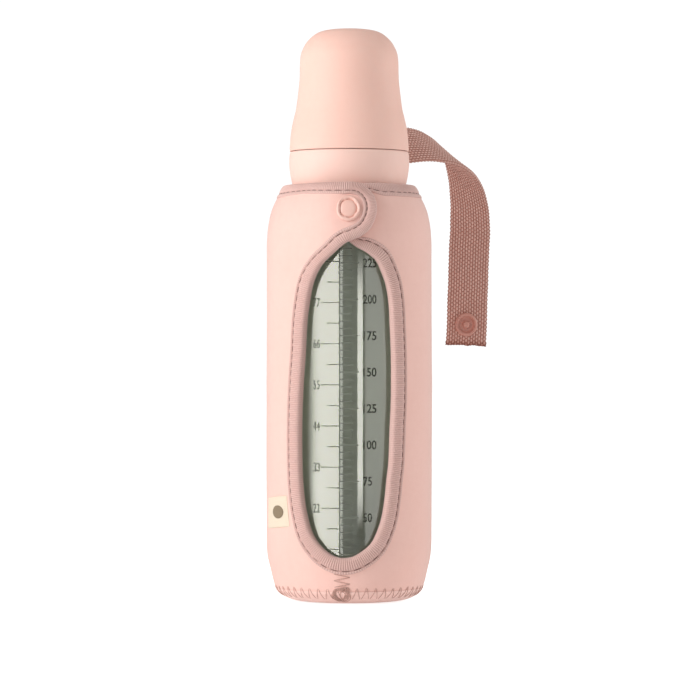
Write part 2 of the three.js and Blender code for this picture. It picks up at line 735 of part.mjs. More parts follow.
// box of stitching: the level sides in four parts, the upright ones in two
function strapRootStitch() {
  const corners = [[-6, 118.6], [6, 118.6], [6, 125.4], [-6, 125.4]];
  const points = corners.flatMap(([x, run], i) => {
    const [nextX, nextRun] = corners[(i + 1) % 4];
    const parts = i % 2 ? 2 : 4;
    return Array.from({ length: parts }, (_, k) => [
      ROOT_DEG + mix(x, nextX, k / parts) / mmPerDegree(run),
      mix(run, nextRun, k / parts),
      ROOT_FACE + 0.34,
    ]);
  });
  return stitch(points, 0.2, onSleeve, true);
}

// ---------- materials ----------
const PINK = 0xf2cbc0;
const SOFT_PINK = 0xf6d6cb;
const GLASS = { color: 0x9aa393, roughness: 0.1 };
const TEAT = { color: 0xe9e6df, roughness: 0.4 };
const COLLAR_FINISH = { color: PINK, roughness: 0.5 };
const CAP_FINISH = { color: SOFT_PINK, roughness: 0.5 };
const SNAP = { color: SOFT_PINK, roughness: 0.4 };
const FABRIC = { color: PINK, roughness: 0.9 };
const BINDING = { color: 0xd8b3aa, roughness: 0.9 };
const WEBBING = { color: 0xb5857a, roughness: 0.9 };
const LABEL = { color: 0xfdf0dd, roughness: 0.9 };
const THREAD = { color: 0xa87b6f, roughness: 0.9 };

// ---------- assembly ----------
const group = new THREE.Group();
group.name = "baby_bottle";

function add(name, solid, finish) {
  const { vertProperties, triVerts } = solid.getMesh();
  const geometry = new THREE.BufferGeometry()
    .setAttribute("position", new THREE.BufferAttribute(vertProperties.slice(), 3))
    .setIndex(new THREE.BufferAttribute(triVerts.slice(), 1));
  const material = new THREE.MeshStandardMaterial({ ...finish, metalness: 0 });
  const mesh = new THREE.Mesh(geometry, material);
  mesh.name = name;
  group.add(mesh);
}

add("glass_bottle", glassBottle(), GLASS);
add("nipple", lathe(closed(NIPPLE), TEAT_SEG), TEAT);
add("collar_ring", collarRing(), COLLAR_FINISH);
add("dome_cap", domeCap(), CAP_FINISH);
add("sleeve_wrap", sleeveWrap(), FABRIC);
add("sleeve_base", lathe(BASE, SLEEVE_SEG), FABRIC);
add("edge_binding", edgeBinding(), BINDING);
add("closure_tab", closureTab(), FABRIC);
add("tab_binding", tabBinding(), BINDING);
add("tab_snap_ring", turned(TAB_RING, tabFrame), SNAP);
add("tab_snap_socket", tabSnapSocket(), SNAP);
add("lap_snap_stud", turned(LAP_STUD, lapFrame), SNAP);
add("lap_snap_ring", lapSnapRing(), SNAP);
add("strap_root", strapRoot(), WEBBING);
add("strap_arch", strapPiece(ARCH_FROM, HANG_AT - HANG_GAP, 3.6), WEBBING);
add("strap_drop", strapPiece(HANG_AT + HANG_GAP, STRAP_END, 6), WEBBING);
add("strap_snap_stud", turned(STRAP_STUD, strapFront), SNAP);
add("strap_snap_cap", turned(STRAP_CAP, strapBack), SNAP);
add("root_snap_socket", rootSnapSocket(), SNAP);
add("side_label", sideLabel(), LABEL);
add("base_seam_thread", baseSeamThread(), THREAD);
add("front_seam_thread", frontSeamThread(), THREAD);
add("strap_root_stitch", strapRootStitch(), THREAD);

export default group;
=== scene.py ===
import math
import bpy
import numpy as np
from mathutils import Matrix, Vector, geometry as mgeo


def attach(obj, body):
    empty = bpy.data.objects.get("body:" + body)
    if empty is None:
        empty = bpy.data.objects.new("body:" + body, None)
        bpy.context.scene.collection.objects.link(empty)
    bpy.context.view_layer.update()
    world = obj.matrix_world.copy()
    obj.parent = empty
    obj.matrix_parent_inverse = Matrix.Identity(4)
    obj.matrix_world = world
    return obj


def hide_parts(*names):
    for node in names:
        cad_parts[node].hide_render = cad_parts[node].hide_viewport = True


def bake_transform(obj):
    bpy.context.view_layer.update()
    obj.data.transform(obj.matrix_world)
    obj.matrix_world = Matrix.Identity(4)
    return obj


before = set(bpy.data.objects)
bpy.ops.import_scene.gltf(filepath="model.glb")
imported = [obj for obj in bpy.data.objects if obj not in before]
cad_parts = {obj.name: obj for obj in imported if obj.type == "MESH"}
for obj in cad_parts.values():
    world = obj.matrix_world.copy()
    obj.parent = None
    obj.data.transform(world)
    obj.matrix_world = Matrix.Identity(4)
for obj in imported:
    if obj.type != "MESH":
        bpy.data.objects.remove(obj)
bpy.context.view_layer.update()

RAD = math.pi / 180
MM = 0.001
rng = np.random.default_rng(7)


# ------------------------------------------------------------------ meshes
def new_mesh(name, verts, faces, mat, smooth=True, attrs=None):
    """verts in millimetres"""
    me = bpy.data.meshes.new(name)
    v = (np.asarray(verts, float) * MM)
    me.from_pydata(v.tolist(), [], [tuple(int(i) for i in f) for f in faces])
    me.validate(clean_customdata=False)
    me.update()
    for key, (kind, values) in (attrs or {}).items():
        a = me.attributes.new(key, kind, "POINT")
        if kind == "FLOAT":
            a.data.foreach_set("value", np.asarray(values, np.float32).ravel())
        else:
            a.data.foreach_set("vector", np.asarray(values, np.float32).ravel())
    me.polygons.foreach_set("use_smooth", [smooth] * len(me.polygons))
    o = bpy.data.objects.new(name, me)
    bpy.context.scene.collection.objects.link(o)
    if mat:
        me.materials.append(mat)
    return o


def grid_faces(n, m, wrap_n=False, wrap_m=False, flip=False):
    i = np.arange(n if wrap_n else n - 1)
    j = np.arange(m if wrap_m else m - 1)
    I, J = np.meshgrid(i, j, indexing="ij")
    I2, J2 = (I + 1) % n, (J + 1) % m
    f = np.stack([I * m + J, I2 * m + J, I2 * m + J2, I * m + J2], -1).reshape(-1, 4)
    return f[:, ::-1] if flip else f


def volume_sign(verts, faces):
    v = np.asarray(verts)
    s = 0.0
    for f in faces:
        for k in range(1, len(f) - 1):
            s += np.dot(v[f[0]], np.cross(v[f[k]], v[f[k + 1]]))
    return s


def outward(verts, faces):
    return [tuple(reversed(f)) for f in faces] if volume_sign(verts, faces) < 0 else [tuple(f) for f in faces]


def rev(name, points, seg, mat, smooth=True, on_axis=(False, False), wrap=True):
    """solid of revolution about Z from a closed outline of (radius, height) in mm"""
    pts = np.asarray(points, float)
    a = np.arange(seg) / seg * 2 * math.pi
    rows, verts, faces = [], [], []
    for r, z in pts:
        if r < 1e-6:
            rows.append([len(verts)])
            verts.append((0, 0, z))
        else:
            rows.append(list(range(len(verts), len(verts) + seg)))
            verts += [(r * math.sin(t), -r * math.cos(t), z) for t in a]
    n = len(rows)
    last = n if pts[0][0] > 1e-6 else n - 1
    for i in range(last):
        A, B = rows[i], rows[(i + 1) % n]
        for k in range(seg):
            l = (k + 1) % seg
            if len(A) > 1 and len(B) > 1:
                faces.append((A[k], B[k], B[l], A[l]))
            elif len(B) > 1:
                faces.append((A[0], B[k], B[l]))
            elif len(A) > 1:
                faces.append((A[k], B[0], A[l]))
    faces = outward(verts, faces)
    return new_mesh(name, verts, faces, mat, smooth)


def turned_on(name, points, seg, place, mat, smooth=True):
    """a turned section of (distance, height) laid on a surface by place(x, y, h) -> (n,3) mm"""
    a = np.arange(seg) / seg * 2 * math.pi
    rows, verts, faces = [], [], []
    for d, h in points:
        if d < 1e-6:
            rows.append([len(verts)])
            verts.append(tuple(place(np.array([0.0]), np.array([0.0]), np.array([h]))[0]))
        else:
            rows.append(list(range(len(verts), len(verts) + seg)))
            p = place(d * np.cos(a), d * np.sin(a), np.full(seg, h))
            verts += [tuple(q) for q in p]
    n = len(rows)
    last = n if points[0][0] > 1e-6 else n - 1
    for i in range(last):
        A, B = rows[i], rows[(i + 1) % n]
        for k in range(seg):
            l = (k + 1) % seg
            if len(A) > 1 and len(B) > 1:
                faces.append((A[k], B[k], B[l], A[l]))
            elif len(B) > 1:
                faces.append((A[0], B[k], B[l]))
            elif len(A) > 1:
                faces.append((A[k], B[0], A[l]))
    c = np.mean(np.array(verts), 0)
    faces = outward(np.array(verts) - c, faces)
    return new_mesh(name, verts, faces, mat, smooth)


def catmull(points, per, closed=False):
    """centripetal-like smooth curve through points, even samples per span"""
    P = np.asarray(points, float)
    n = len(P)
    out = []
    spans = n if closed else n - 1
    for i in range(spans):
        p1, p2 = P[i % n], P[(i + 1) % n]
        p0 = P[(i - 1) % n] if (closed or i > 0) else 2 * p1 - p2
        p3 = P[(i + 2) % n] if (closed or i < n - 2) else 2 * p2 - p1
        d1 = max(np.linalg.norm(p1 - p0), 1e-6) ** 0.5
        d2 = max(np.linalg.norm(p2 - p1), 1e-6) ** 0.5
        d3 = max(np.linalg.norm(p3 - p2), 1e-6) ** 0.5
        m1 = (p2 - p1) + d2 * ((p1 - p0) / d1 - (p2 - p0) / (d1 + d2))
        m2 = (p2 - p1) + d2 * ((p3 - p2) / d3 - (p3 - p1) / (d2 + d3))
        t = np.arange(per)[:, None] / per
        out.append((2 * t**3 - 3 * t**2 + 1) * p1 + (t**3 - 2 * t**2 + t) * m1 + (-2 * t**3 + 3 * t**2) * p2 + (t**3 - t**2) * m2)
    if not closed:
        out.append(P[-1][None])
    return np.concatenate(out)


def resample(path, step, metric=None, closed=False):
    P = np.asarray(path, float)
    Q = P if metric is None else metric(P)
    if closed:
        P, Q = np.vstack([P, P[:1]]), np.vstack([Q, Q[:1]])
    d = np.r_[0, np.cumsum(np.linalg.norm(np.diff(Q, axis=0), axis=1))]
    n = max(2, int(round(d[-1] / step)))
    s = np.linspace(0, d[-1], n + 1)
    out = np.stack([np.interp(s, d, P[:, k]) for k in range(P.shape[1])], -1)
    return (out[:-1] if closed else out), d[-1]


def smoothstep(x, a=0.0, b=1.0):
    t = np.clip((np.asarray(x, float) - a) / (b - a), 0, 1)
    return t * t * (3 - 2 * t)


def wobble(u, v, scale, seed):
    """smooth repeatable noise from a few sines, about -1 to 1"""
    r = np.random.default_rng(seed)
    out = 0
    for _ in range(7):
        a, ph = r.uniform(0, 2 * math.pi, 2)
        k = r.uniform(0.5, 1.6) / scale
        out = out + np.sin((u * math.cos(a) + v * math.sin(a)) * 2 * math.pi * k + ph)
    return out / 4.0


# ------------------------------------------------------------------ materials
class Nodes:
    def __init__(self, name):
        self.mat = bpy.data.materials.new(name)
        self.mat.use_nodes = True
        self.t = self.mat.node_tree
        self.t.nodes.clear()
        self.out = self.t.nodes.new("ShaderNodeOutputMaterial")

    def n(self, kind, **kw):
        node = self.t.nodes.new(kind)
        for k, v in kw.items():
            if k.startswith("i_"):
                node.inputs[k[2:].replace("_", " ")].default_value = v
            else:
                setattr(node, k, v)
        return node

    def l(self, a, b):
        self.t.links.new(a, b)

    def val(self, node, key, v):
        node.inputs[key].default_value = v

    def math(self, op, a, b=None, clamp=False):
        m = self.n("ShaderNodeMath", operation=op, use_clamp=clamp)
        for i, x in enumerate((a, b)):
            if x is None:
                continue
            if isinstance(x, (int, float)):
                m.inputs[i].default_value = x
            else:
                self.l(x, m.inputs[i])
        return m.outputs[0]

    def mix(self, fac, a, b, mode="MIX"):
        m = self.n("ShaderNodeMix", data_type="RGBA", blend_type=mode)
        for key, x in ((0, fac), (6, a), (7, b)):
            if isinstance(x, (int, float)):
                m.inputs[key].default_value = x
            elif isinstance(x, (tuple, list)):
                m.inputs[key].default_value = (*x, 1.0) if len(x) == 3 else x
            else:
                self.l(x, m.inputs[key])
        return m.outputs[2]

    def noise(self, coord, scale, detail=4.0, rough=0.55):
        t = self.n("ShaderNodeTexNoise")
        t.inputs["Scale"].default_value = scale
        t.inputs["Detail"].default_value = detail
        t.inputs["Roughness"].default_value = rough
        self.l(coord, t.inputs["Vector"])
        return t.outputs["Fac"]

    def bump(self, height, strength, distance, normal=None):
        b = self.n("ShaderNodeBump")
        b.inputs["Strength"].default_value = strength
        b.inputs["Distance"].default_value = distance
        self.l(height, b.inputs["Height"])
        if normal is not None:
            self.l(normal, b.inputs["Normal"])
        return b.outputs["Normal"]

    def ramp(self, fac, stops):
        r = self.n("ShaderNodeValToRGB")
        e = r.color_ramp.elements
        while len(e) > 1:
            e.remove(e[-1])
        e[0].position, e[0].color = stops[0][0], (*stops[0][1], 1)
        for p, c in stops[1:]:
            x = e.new(p)
            x.color = (*c, 1)
        self.l(fac, r.inputs[0])
        return r.outputs[0]


def srgb(h):
    h = h.lstrip("#")
    c = [int(h[i:i + 2], 16) / 255 for i in (0, 2, 4)]
    return tuple(x / 12.92 if x <= 0.04045 else ((x + 0.055) / 1.055) ** 2.4 for x in c)


def fabric_knit(name, base, light, dark, lining=None):
    """fine jersey over foam: knit loops about 0.45 mm apart, soft sheen, faint mottling"""
    m = Nodes(name)
    at = m.n("ShaderNodeAttribute", attribute_name="fab")
    sep = m.n("ShaderNodeSeparateXYZ")
    m.l(at.outputs["Vector"], sep.inputs[0])
    u, v = sep.outputs[0], sep.outputs[1]
    # knit: columns of small V shapes
    cu = m.math("MULTIPLY", u, 2 * math.pi / 0.48)
    zig = m.math("ABSOLUTE", m.math("SINE", m.math("MULTIPLY", cu, 0.5)))
    vv = m.math("ADD", m.math("MULTIPLY", v, 2 * math.pi / 0.42), m.math("MULTIPLY", zig, 2.2))
    knit = m.math("MULTIPLY", m.math("ADD", m.math("SINE", vv), 1.0), m.math("POWER", zig, 0.6))
    fine = m.noise(at.outputs["Vector"], 3.2, 6.0, 0.7)
    big = m.noise(at.outputs["Vector"], 0.06, 3.0, 0.5)
    mid = m.noise(at.outputs["Vector"], 0.35, 4.0, 0.6)
    col = m.mix(m.math("MULTIPLY", big, 0.55), base, light)
    col = m.mix(m.math("MULTIPLY", m.math("SUBTRACT", mid, 0.35, True), 0.35), col, dark)
    # painted shade: a little darker in the knit's hollows between loops
    col = m.mix(m.math("MULTIPLY", m.math("SUBTRACT", 1.0, m.math("MULTIPLY", knit, 0.5)), 0.10), col, dark)
    if lining is not None:
        side = m.n("ShaderNodeAttribute", attribute_name="inner")
        col = m.mix(side.outputs["Fac"], col, m.mix(m.math("MULTIPLY", mid, 0.5), lining[0], lining[1]))
    nrm = m.bump(knit, 0.22, 0.00012)
    nrm = m.bump(fine, 0.18, 0.0001, nrm)
    nrm = m.bump(mid, 0.25, 0.0003, nrm)
    p = m.n("ShaderNodeBsdfPrincipled")
    m.l(col, p.inputs["Base Color"])
    m.l(nrm, p.inputs["Normal"])
    m.l(m.math("ADD", m.math("MULTIPLY", fine, 0.12), 0.74), p.inputs["Roughness"])
    m.val(p, "Specular IOR Level", 0.22)
    m.val(p, "Sheen Weight", 0.5)
    m.val(p, "Sheen Roughness", 0.42)
    m.val(p, "Sheen Tint", (1.0, 0.93, 0.9, 1))
    m.l(p.outputs[0], m.out.inputs[0])
    return m.mat


def fabric_tape(name, base, light, dark):
    """ribbed elastic tape: the ribs are in the mesh, the yarn grain is here; a value stored on the mesh paints shade
    into the colour, darker where the ribs and grooves dip
    """
    m = Nodes(name)
    at = m.n("ShaderNodeAttribute", attribute_name="fab")
    rib = m.n("ShaderNodeAttribute", attribute_name="rib")
    sep = m.n("ShaderNodeSeparateXYZ")
    m.l(at.outputs["Vector"], sep.inputs[0])
    yarn = m.math("SINE", m.math("MULTIPLY", sep.outputs[1], 2 * math.pi / 0.34))
    fine = m.noise(at.outputs["Vector"], 4.5, 5.0, 0.7)
    big = m.noise(at.outputs["Vector"], 0.22, 3.0, 0.5)
    col = m.mix(m.math("MULTIPLY", big, 0.6), base, light)
    # painted shade: the colour goes darker where the stored rib value is low (rib valleys, and on the binding its
    # stitch groove, outer edge and underside)
    col = m.mix(m.math("MULTIPLY", m.math("SUBTRACT", 1.0, rib.outputs["Fac"]), 0.62), col, dark)
    col = m.mix(m.math("MULTIPLY", m.math("SUBTRACT", fine, 0.4, True), 0.5), col, dark)
    nrm = m.bump(m.math("MULTIPLY", yarn, rib.outputs["Fac"]), 0.18, 0.0001)
    nrm = m.bump(fine, 0.3, 0.00012, nrm)
    p = m.n("ShaderNodeBsdfPrincipled")
    m.l(col, p.inputs["Base Color"])
    m.l(nrm, p.inputs["Normal"])
    m.l(m.math("ADD", m.math("MULTIPLY", fine, 0.15), 0.66), p.inputs["Roughness"])
    m.val(p, "Specular IOR Level", 0.25)
    m.val(p, "Sheen Weight", 0.3)
    m.val(p, "Sheen Roughness", 0.4)
    m.l(p.outputs[0], m.out.inputs[0])
    return m.mat


def webbing(name, base, light, dark):
    m = Nodes(name)
    at = m.n("ShaderNodeAttribute", attribute_name="fab")
    hi = m.n("ShaderNodeAttribute", attribute_name="rib")
    sep = m.n("ShaderNodeSeparateXYZ")
    m.l(at.outputs["Vector"], sep.inputs[0])
    fibre = m.noise(at.outputs["Vector"], 5.0, 6.0, 0.7)
    var = m.noise(at.outputs["Vector"], 0.5, 4.0, 0.6)
    strand = m.math("SINE", m.math("MULTIPLY", sep.outputs[0], 2 * math.pi / 0.16))
    # painted light and shade from the weave value stored on the mesh: dark in the gaps, light on the raised floats
    col = m.ramp(hi.outputs["Fac"], [(0.0, dark), (0.34, base), (0.9, light), (1.0, light)])
    col = m.mix(m.math("MULTIPLY", m.math("SUBTRACT", var, 0.35, True), 0.9), col, base)
    col = m.mix(m.math("MULTIPLY", m.math("SUBTRACT", fibre, 0.42, True), 0.8), col, dark)
    nrm = m.bump(strand, 0.14, 0.0001)
    nrm = m.bump(fibre, 0.35, 0.00015, nrm)
    p = m.n("ShaderNodeBsdfPrincipled")
    m.l(col, p.inputs["Base Color"])
    m.l(nrm, p.inputs["Normal"])
    m.l(m.math("SUBTRACT", 0.72, m.math("MULTIPLY", hi.outputs["Fac"], 0.16)), p.inputs["Roughness"])
    m.val(p, "Specular IOR Level", 0.3)
    m.val(p, "Sheen Weight", 0.25)
    m.val(p, "Sheen Roughness", 0.4)
    m.l(p.outputs[0], m.out.inputs[0])
    return m.mat


def plastic(name, base, light, dark, rough=0.42, bump=0.12, sss=0.0, spec=0.4, scale=1.0):
    m = Nodes(name)
    tc = m.n("ShaderNodeTexCoord")
    grain = m.noise(tc.outputs["Object"], 9000.0 * scale, 3.0, 0.6)
    cloud = m.noise(tc.outputs["Object"], 60.0, 4.0, 0.5)
    wear = m.noise(tc.outputs["Object"], 420.0, 5.0, 0.65)
    col = m.mix(m.math("MULTIPLY", cloud, 0.6), base, light)
    col = m.mix(m.math("MULTIPLY", m.math("SUBTRACT", wear, 0.45, True), 0.35), col, dark)
    nrm = m.bump(grain, bump, 0.00006)
    nrm = m.bump(cloud, 0.06, 0.0004, nrm)
    p = m.n("ShaderNodeBsdfPrincipled")
    m.l(col, p.inputs["Base Color"])
    m.l(nrm, p.inputs["Normal"])
    m.l(m.math("ADD", m.math("MULTIPLY", wear, 0.14), rough - 0.07), p.inputs["Roughness"])
    m.val(p, "Specular IOR Level", spec)
    if sss:
        m.val(p, "Subsurface Weight", sss)
        m.val(p, "Subsurface Radius", (1.0, 0.6, 0.5))
        m.val(p, "Subsurface Scale", 0.0015)
    m.l(p.outputs[0], m.out.inputs[0])
    return m.mat


def thread_mat(name, base, light, dark):
    m = Nodes(name)
    at = m.n("ShaderNodeAttribute", attribute_name="fab")
    sep = m.n("ShaderNodeSeparateXYZ")
    m.l(at.outputs["Vector"], sep.inputs[0])
    ply = m.math("SINE", m.math("ADD", m.math("MULTIPLY", sep.outputs[0], 2 * math.pi / 0.55), sep.outputs[1]))
    fine = m.noise(at.outputs["Vector"], 6.0, 4.0, 0.6)
    # painted shade: the thread goes darker in the grooves of its twist
    col = m.mix(m.math("ADD", m.math("MULTIPLY", ply, 0.35), 0.4, True), dark, base)
    col = m.mix(m.math("MULTIPLY", fine, 0.4), col, light)
    p = m.n("ShaderNodeBsdfPrincipled")
    m.l(col, p.inputs["Base Color"])
    m.l(m.bump(ply, 0.4, 0.00008), p.inputs["Normal"])
    m.val(p, "Roughness", 0.62)
    m.val(p, "Sheen Weight", 0.2)
    m.l(p.outputs[0], m.out.inputs[0])
    return m.mat


def glass_mat(name, tint):
    m = Nodes(name)
    tc = m.n("ShaderNodeTexCoord")
    ripple = m.noise(tc.outputs["Object"], 26.0, 2.0, 0.4)
    g = m.n("ShaderNodeBsdfPrincipled")
    m.val(g, "Base Color", (*tint, 1))
    m.val(g, "Transmission Weight", 1.0)
    m.val(g, "IOR", 1.5)
    m.val(g, "Roughness", 0.0)
    m.l(m.bump(ripple, 0.05, 0.0006), g.inputs["Normal"])
    clear = m.n("ShaderNodeBsdfTransparent")
    clear.inputs[0].default_value = (*[c ** 0.5 for c in tint], 1)
    lp = m.n("ShaderNodeLightPath")
    mixs = m.n("ShaderNodeMixShader")
    m.l(m.math("MAXIMUM", lp.outputs["Is Shadow Ray"], lp.outputs["Is Diffuse Ray"]), mixs.inputs[0])
    m.l(g.outputs[0], mixs.inputs[1])
    m.l(clear.outputs[0], mixs.inputs[2])
    m.l(mixs.outputs[0], m.out.inputs[0])
    return m.mat


M_NEO = fabric_knit("neoprene", srgb("f5c8bc"), srgb("f9d2c8"), srgb("e9b4a7"), lining=(srgb("d6d7cb"), srgb("c6c8bc")))
# the base pad's neoprene, a lighter copy of the sleeve's: painted light in place of the light the floor throws up onto
# the base
M_BASE_LIGHTENED = fabric_knit("neoprene_base_lightened", srgb("f9d1c7"), srgb("fbdad0"), srgb("eebfb3"))
M_TAPE = fabric_tape("binding_tape", srgb("e6c1b8"), srgb("f0d5ce"), srgb("ba8d84"))
M_WEB = webbing("webbing", srgb("b07a6d"), srgb("f4d0c4"), srgb("8b5a4d"))
M_CAP = plastic("pp_cap", srgb("f7c9ba"), srgb("f9d0c2"), srgb("efb9a9"), rough=0.56, bump=0.10, sss=0.12, spec=0.18)
M_COLLAR = plastic("pp_collar", srgb("f8cfc2"), srgb("fad6ca"), srgb("efbfb1"), rough=0.54, bump=0.10, sss=0.12, spec=0.22)
M_TEAT = plastic("teat_silicone", srgb("efeae2"), srgb("f6f2ec"), srgb("ddd6ca"), rough=0.3, bump=0.05, sss=0.5, spec=0.5)
M_SNAP = plastic("snap_pink", srgb("f2c2b4"), srgb("f6d0c4"), srgb("dfa899"), rough=0.3, bump=0.05, spec=0.5)
M_SNAP2 = plastic("snap_rose", srgb("cf9789"), srgb("d9a497"), srgb("b47b6d"), rough=0.3, bump=0.06, spec=0.55)
M_LABEL = fabric_tape("label_ribbon", srgb("e9d9c3"), srgb("efe2d0"), srgb("d2bda0"))
M_MARK = plastic("label_mark", srgb("8a7a64"), srgb("97866f"), srgb("6f604c"), rough=0.8, bump=0.3, spec=0.2)
M_THREAD = thread_mat("seam_thread", srgb("d3a89b"), srgb("e4bdb1"), srgb("b48779"))
# dark brown hem thread: partly the thread's own colour, partly painted shade of the groove it lies in
M_STITCH = thread_mat("hem_thread", srgb("7d544b"), srgb("93675d"), srgb("5a3a33"))
M_GLASS = glass_mat("bottle_glass", (0.945, 0.97, 0.935))
M_PRINT = plastic("print_ink", srgb("4a4d44"), srgb("52554b"), srgb("3e4139"), rough=0.6, bump=0.05, spec=0.2)
M_TICK = plastic("print_ink_fine", srgb("767a6e"), srgb("7e8276"), srgb("686c61"), rough=0.6, bump=0.05, spec=0.2)


# ------------------------------------------------------------------ the sleeve's surface
PROFILE = [
    (26.05, 4.0), (26.75, 5.6), (27.35, 7.5), (27.85, 9.6), (28.35, 11.8), (28.85, 13.8), (29.3, 16.0),
    (29.55, 18.5), (29.7, 21.0), (29.7, 26.0), (29.7, 60.0), (29.7, 100.0), (29.7, 125.0), (29.7, 128.0),
    (29.55, 130.8), (29.3, 133.9), (28.8, 136.8), (28.1, 139.7), (27.3, 141.8), (26.25, 144.0),
    (25.35, 145.6), (24.35, 147.0), (23.55, 148.2), (22.9, 149.2),
]
_c = catmull(PROFILE, 14)
_top, _low = _c[-1] - _c[-2], _c[0] - _c[1]
_c = np.vstack([_c[0] + _low / np.linalg.norm(_low) * 3.0, _c, _c[-1] + _top / np.linalg.norm(_top) * 4.0])
_len = np.r_[0, np.cumsum(np.linalg.norm(np.diff(_c, axis=0), axis=1))]
_at21 = np.interp(21.0, _c[:, 1], _len)
_T = _len - _at21 + 21.0
_d = np.gradient(_c, _T, axis=0)
_d /= np.linalg.norm(_d, axis=1)[:, None]
T_LOW, T_TOP = _T[1], _T[-2]
NEOPRENE = 2.2


def t_of(z):
    return np.interp(z, _c[:, 1], _T)


def prof(t):
    nr, nz = np.interp(t, _T, _d[:, 1]), np.interp(t, _T, -_d[:, 0])
    l = np.hypot(nr, nz)
    return np.interp(t, _T, _c[:, 0]), np.interp(t, _T, _c[:, 1]), nr / l, nz / l


def surf(deg, t, off):
    deg, t, off = np.broadcast_arrays(np.asarray(deg, float), np.asarray(t, float), np.asarray(off, float))
    r, z, nr, nz = prof(t)
    rr = r + nr * off
    return np.stack([rr * np.sin(deg * RAD), -rr * np.cos(deg * RAD), z + nz * off], -1)


HINGE, TAB_LIFT = -19.5, 3.5


def ramp(deg, t):
    """how far the upper front of the sheet is drawn out, so that the tab passes over the other end"""
    return TAB_LIFT * smoothstep(np.asarray(deg, float), -46, -7) * smoothstep(t, 107, 126)


def seen(points):
    """outline given as seen from the front, carried onto the drawn-out sheet"""
    out = []
    for deg, z in points:
        t = float(t_of(z))
        x = float(prof(t)[0]) * math.sin(deg * RAD)
        d = deg
        for _ in range(40):
            L = float(ramp(d, t))
            r, zz, nr, nz = (float(v) for v in prof(t))
            d = math.asin(x / (r + nr * L)) / RAD
            t += 0.7 * (z - (zz + nz * L)) / max(0.5, nr)
        out.append((d, t))
    return out


SNAP_DEG, SNAP_T = seen([(-0.6, 139.6)])[0]


LAP = [(-358.6, 149.1), (-364.0, 148.8), (-366.9, 146.9), (-368.8, 142.8), (-368.6, 137.6), (-366.6, 132.3), (-361.7, 129.0)]
WINDOW = [
    (-355.5, 126.4), (-347.7, 124.3), (-340.6, 121.4), (-336, 117.1), (-332.6, 112.9), (-330.2, 106.5), (-329.0, 97.1),
    (-328.2, 88.5), (-328, 79.9), (-328.2, 71.4), (-329.2, 62.8), (-330.4, 50.0), (-331.9, 44.5), (-333.7, 37.1),
    (-336.2, 30.7), (-340, 25.7), (-344.4, 21.9), (-351.2, 18.9), (-358.1, 17.1), (-364.9, 16.7), (-370.9, 17.4),
    (-377.1, 19.4), (-383.5, 22.7), (-388.3, 26.5), (-392.3, 32.8), (-394.5, 38.4), (-396, 45.8), (-396.5, 54.3),
    (-396.5, 62.8), (-396, 71.4), (-394.9, 79.9), (-393.3, 88.5), (-391.8, 100.1), (-389.8, 106.5), (-387.5, 112.0),
    (-384.2, 116.2),
]
FOOT = [(-379.5, 119.9)]
TAB = [
    (-17.7, 120.9), (-11.1, 123.9), (-2.7, 127.5), (1.9, 128.6), (7.8, 129.9), (13.9, 132.1), (17.9, 135.3), (20.4, 138.9),
    (20.8, 142.0), (19.3, 144.9), (15.6, 147.3), (10.4, 148.7), (3.2, 149.2), (-6.5, 149.15), (-13, 149.2),
]


def in_t(points):
    return [(d, float(t_of(z))) for d, z in points]


_neck = [seen([(d, 149.2)])[0] if d > -60 else (d, float(T_TOP)) for d in np.linspace(-19.5, -352, 90)]
_left = [(d - 360, t) for d, t in seen([(d + 360, z) for d, z in WINDOW[24:] + FOOT])]
_key = _neck + in_t(LAP + WINDOW[:24]) + _left + [(d - 360, t) for d, t in seen(TAB)]
_flat = catmull(np.array([(d * 0.5, t) for d, t in _key + [(_neck[0][0] - 360, _neck[0][1])]]), 10)
EDGE = np.stack([_flat[:, 0] / 0.5, _flat[:, 1]], -1)  # free edge of the fabric, degrees and distance
_i_foot = (len(_neck) + len(LAP) + len(WINDOW)) * 10
_i_bottom = (len(_neck) + len(LAP) + 19) * 10
_k = np.arange(len(EDGE))
_front = np.where(_k >= _i_bottom, EDGE[:, 0] + 360.0, np.where(EDGE[:, 0] > -90, EDGE[:, 0], -100.0))
_xyz = surf(EDGE[:, 0], EDGE[:, 1], ramp(_front, EDGE[:, 1]))  # the edge in space gives its true length
_s = np.r_[0, np.cumsum(np.linalg.norm(np.diff(_xyz, axis=0), axis=1))]
EDGE_LEN = _s[-1]
S_FOOT = _s[_i_foot]
S_BOTTOM = _s[_i_bottom]
S_NECK_END = _s[(len(_neck) - 1) * 10]
S_LAP_END = _s[(len(_neck) + len(LAP) - 1) * 10]
S_WINDOW = _s[(len(_neck) + len(LAP)) * 10]


def edge_at(s):
    s = np.asarray(s, float) % EDGE_LEN
    return np.stack([np.interp(s, _s, EDGE[:, 0]), np.interp(s, _s, EDGE[:, 1])], -1)


def edge_frame(s):
    """points on the edge and the sideways unit into the fabric, in millimetres of the unrolled surface"""
    p = edge_at(s)
    def wrapped(x):
        q = edge_at(x)
        q = q.copy()
        q[:, 0] -= 360.0 * np.floor(np.asarray(x, float) / EDGE_LEN)
        return q
    a, b = wrapped(s - 0.5), wrapped(s + 0.5)
    m = prof(p[:, 1])[0] * RAD
    du, dt = (b[:, 0] - a[:, 0]) * m, b[:, 1] - a[:, 1]
    l = np.hypot(du, dt)
    return p, -dt / l / m, du / l


def front_turn(s, deg):
    """angle from the front for the layer that holds the tab; far round the back for the rest"""
    return np.where(s > S_BOTTOM, deg + 360.0, np.where((s < 60) & (deg > -90), deg, -100.0))


def tab_turn(s, deg, t):
    """the lift of a point reached from the edge at s"""
    return ramp(front_turn(s, deg), t)


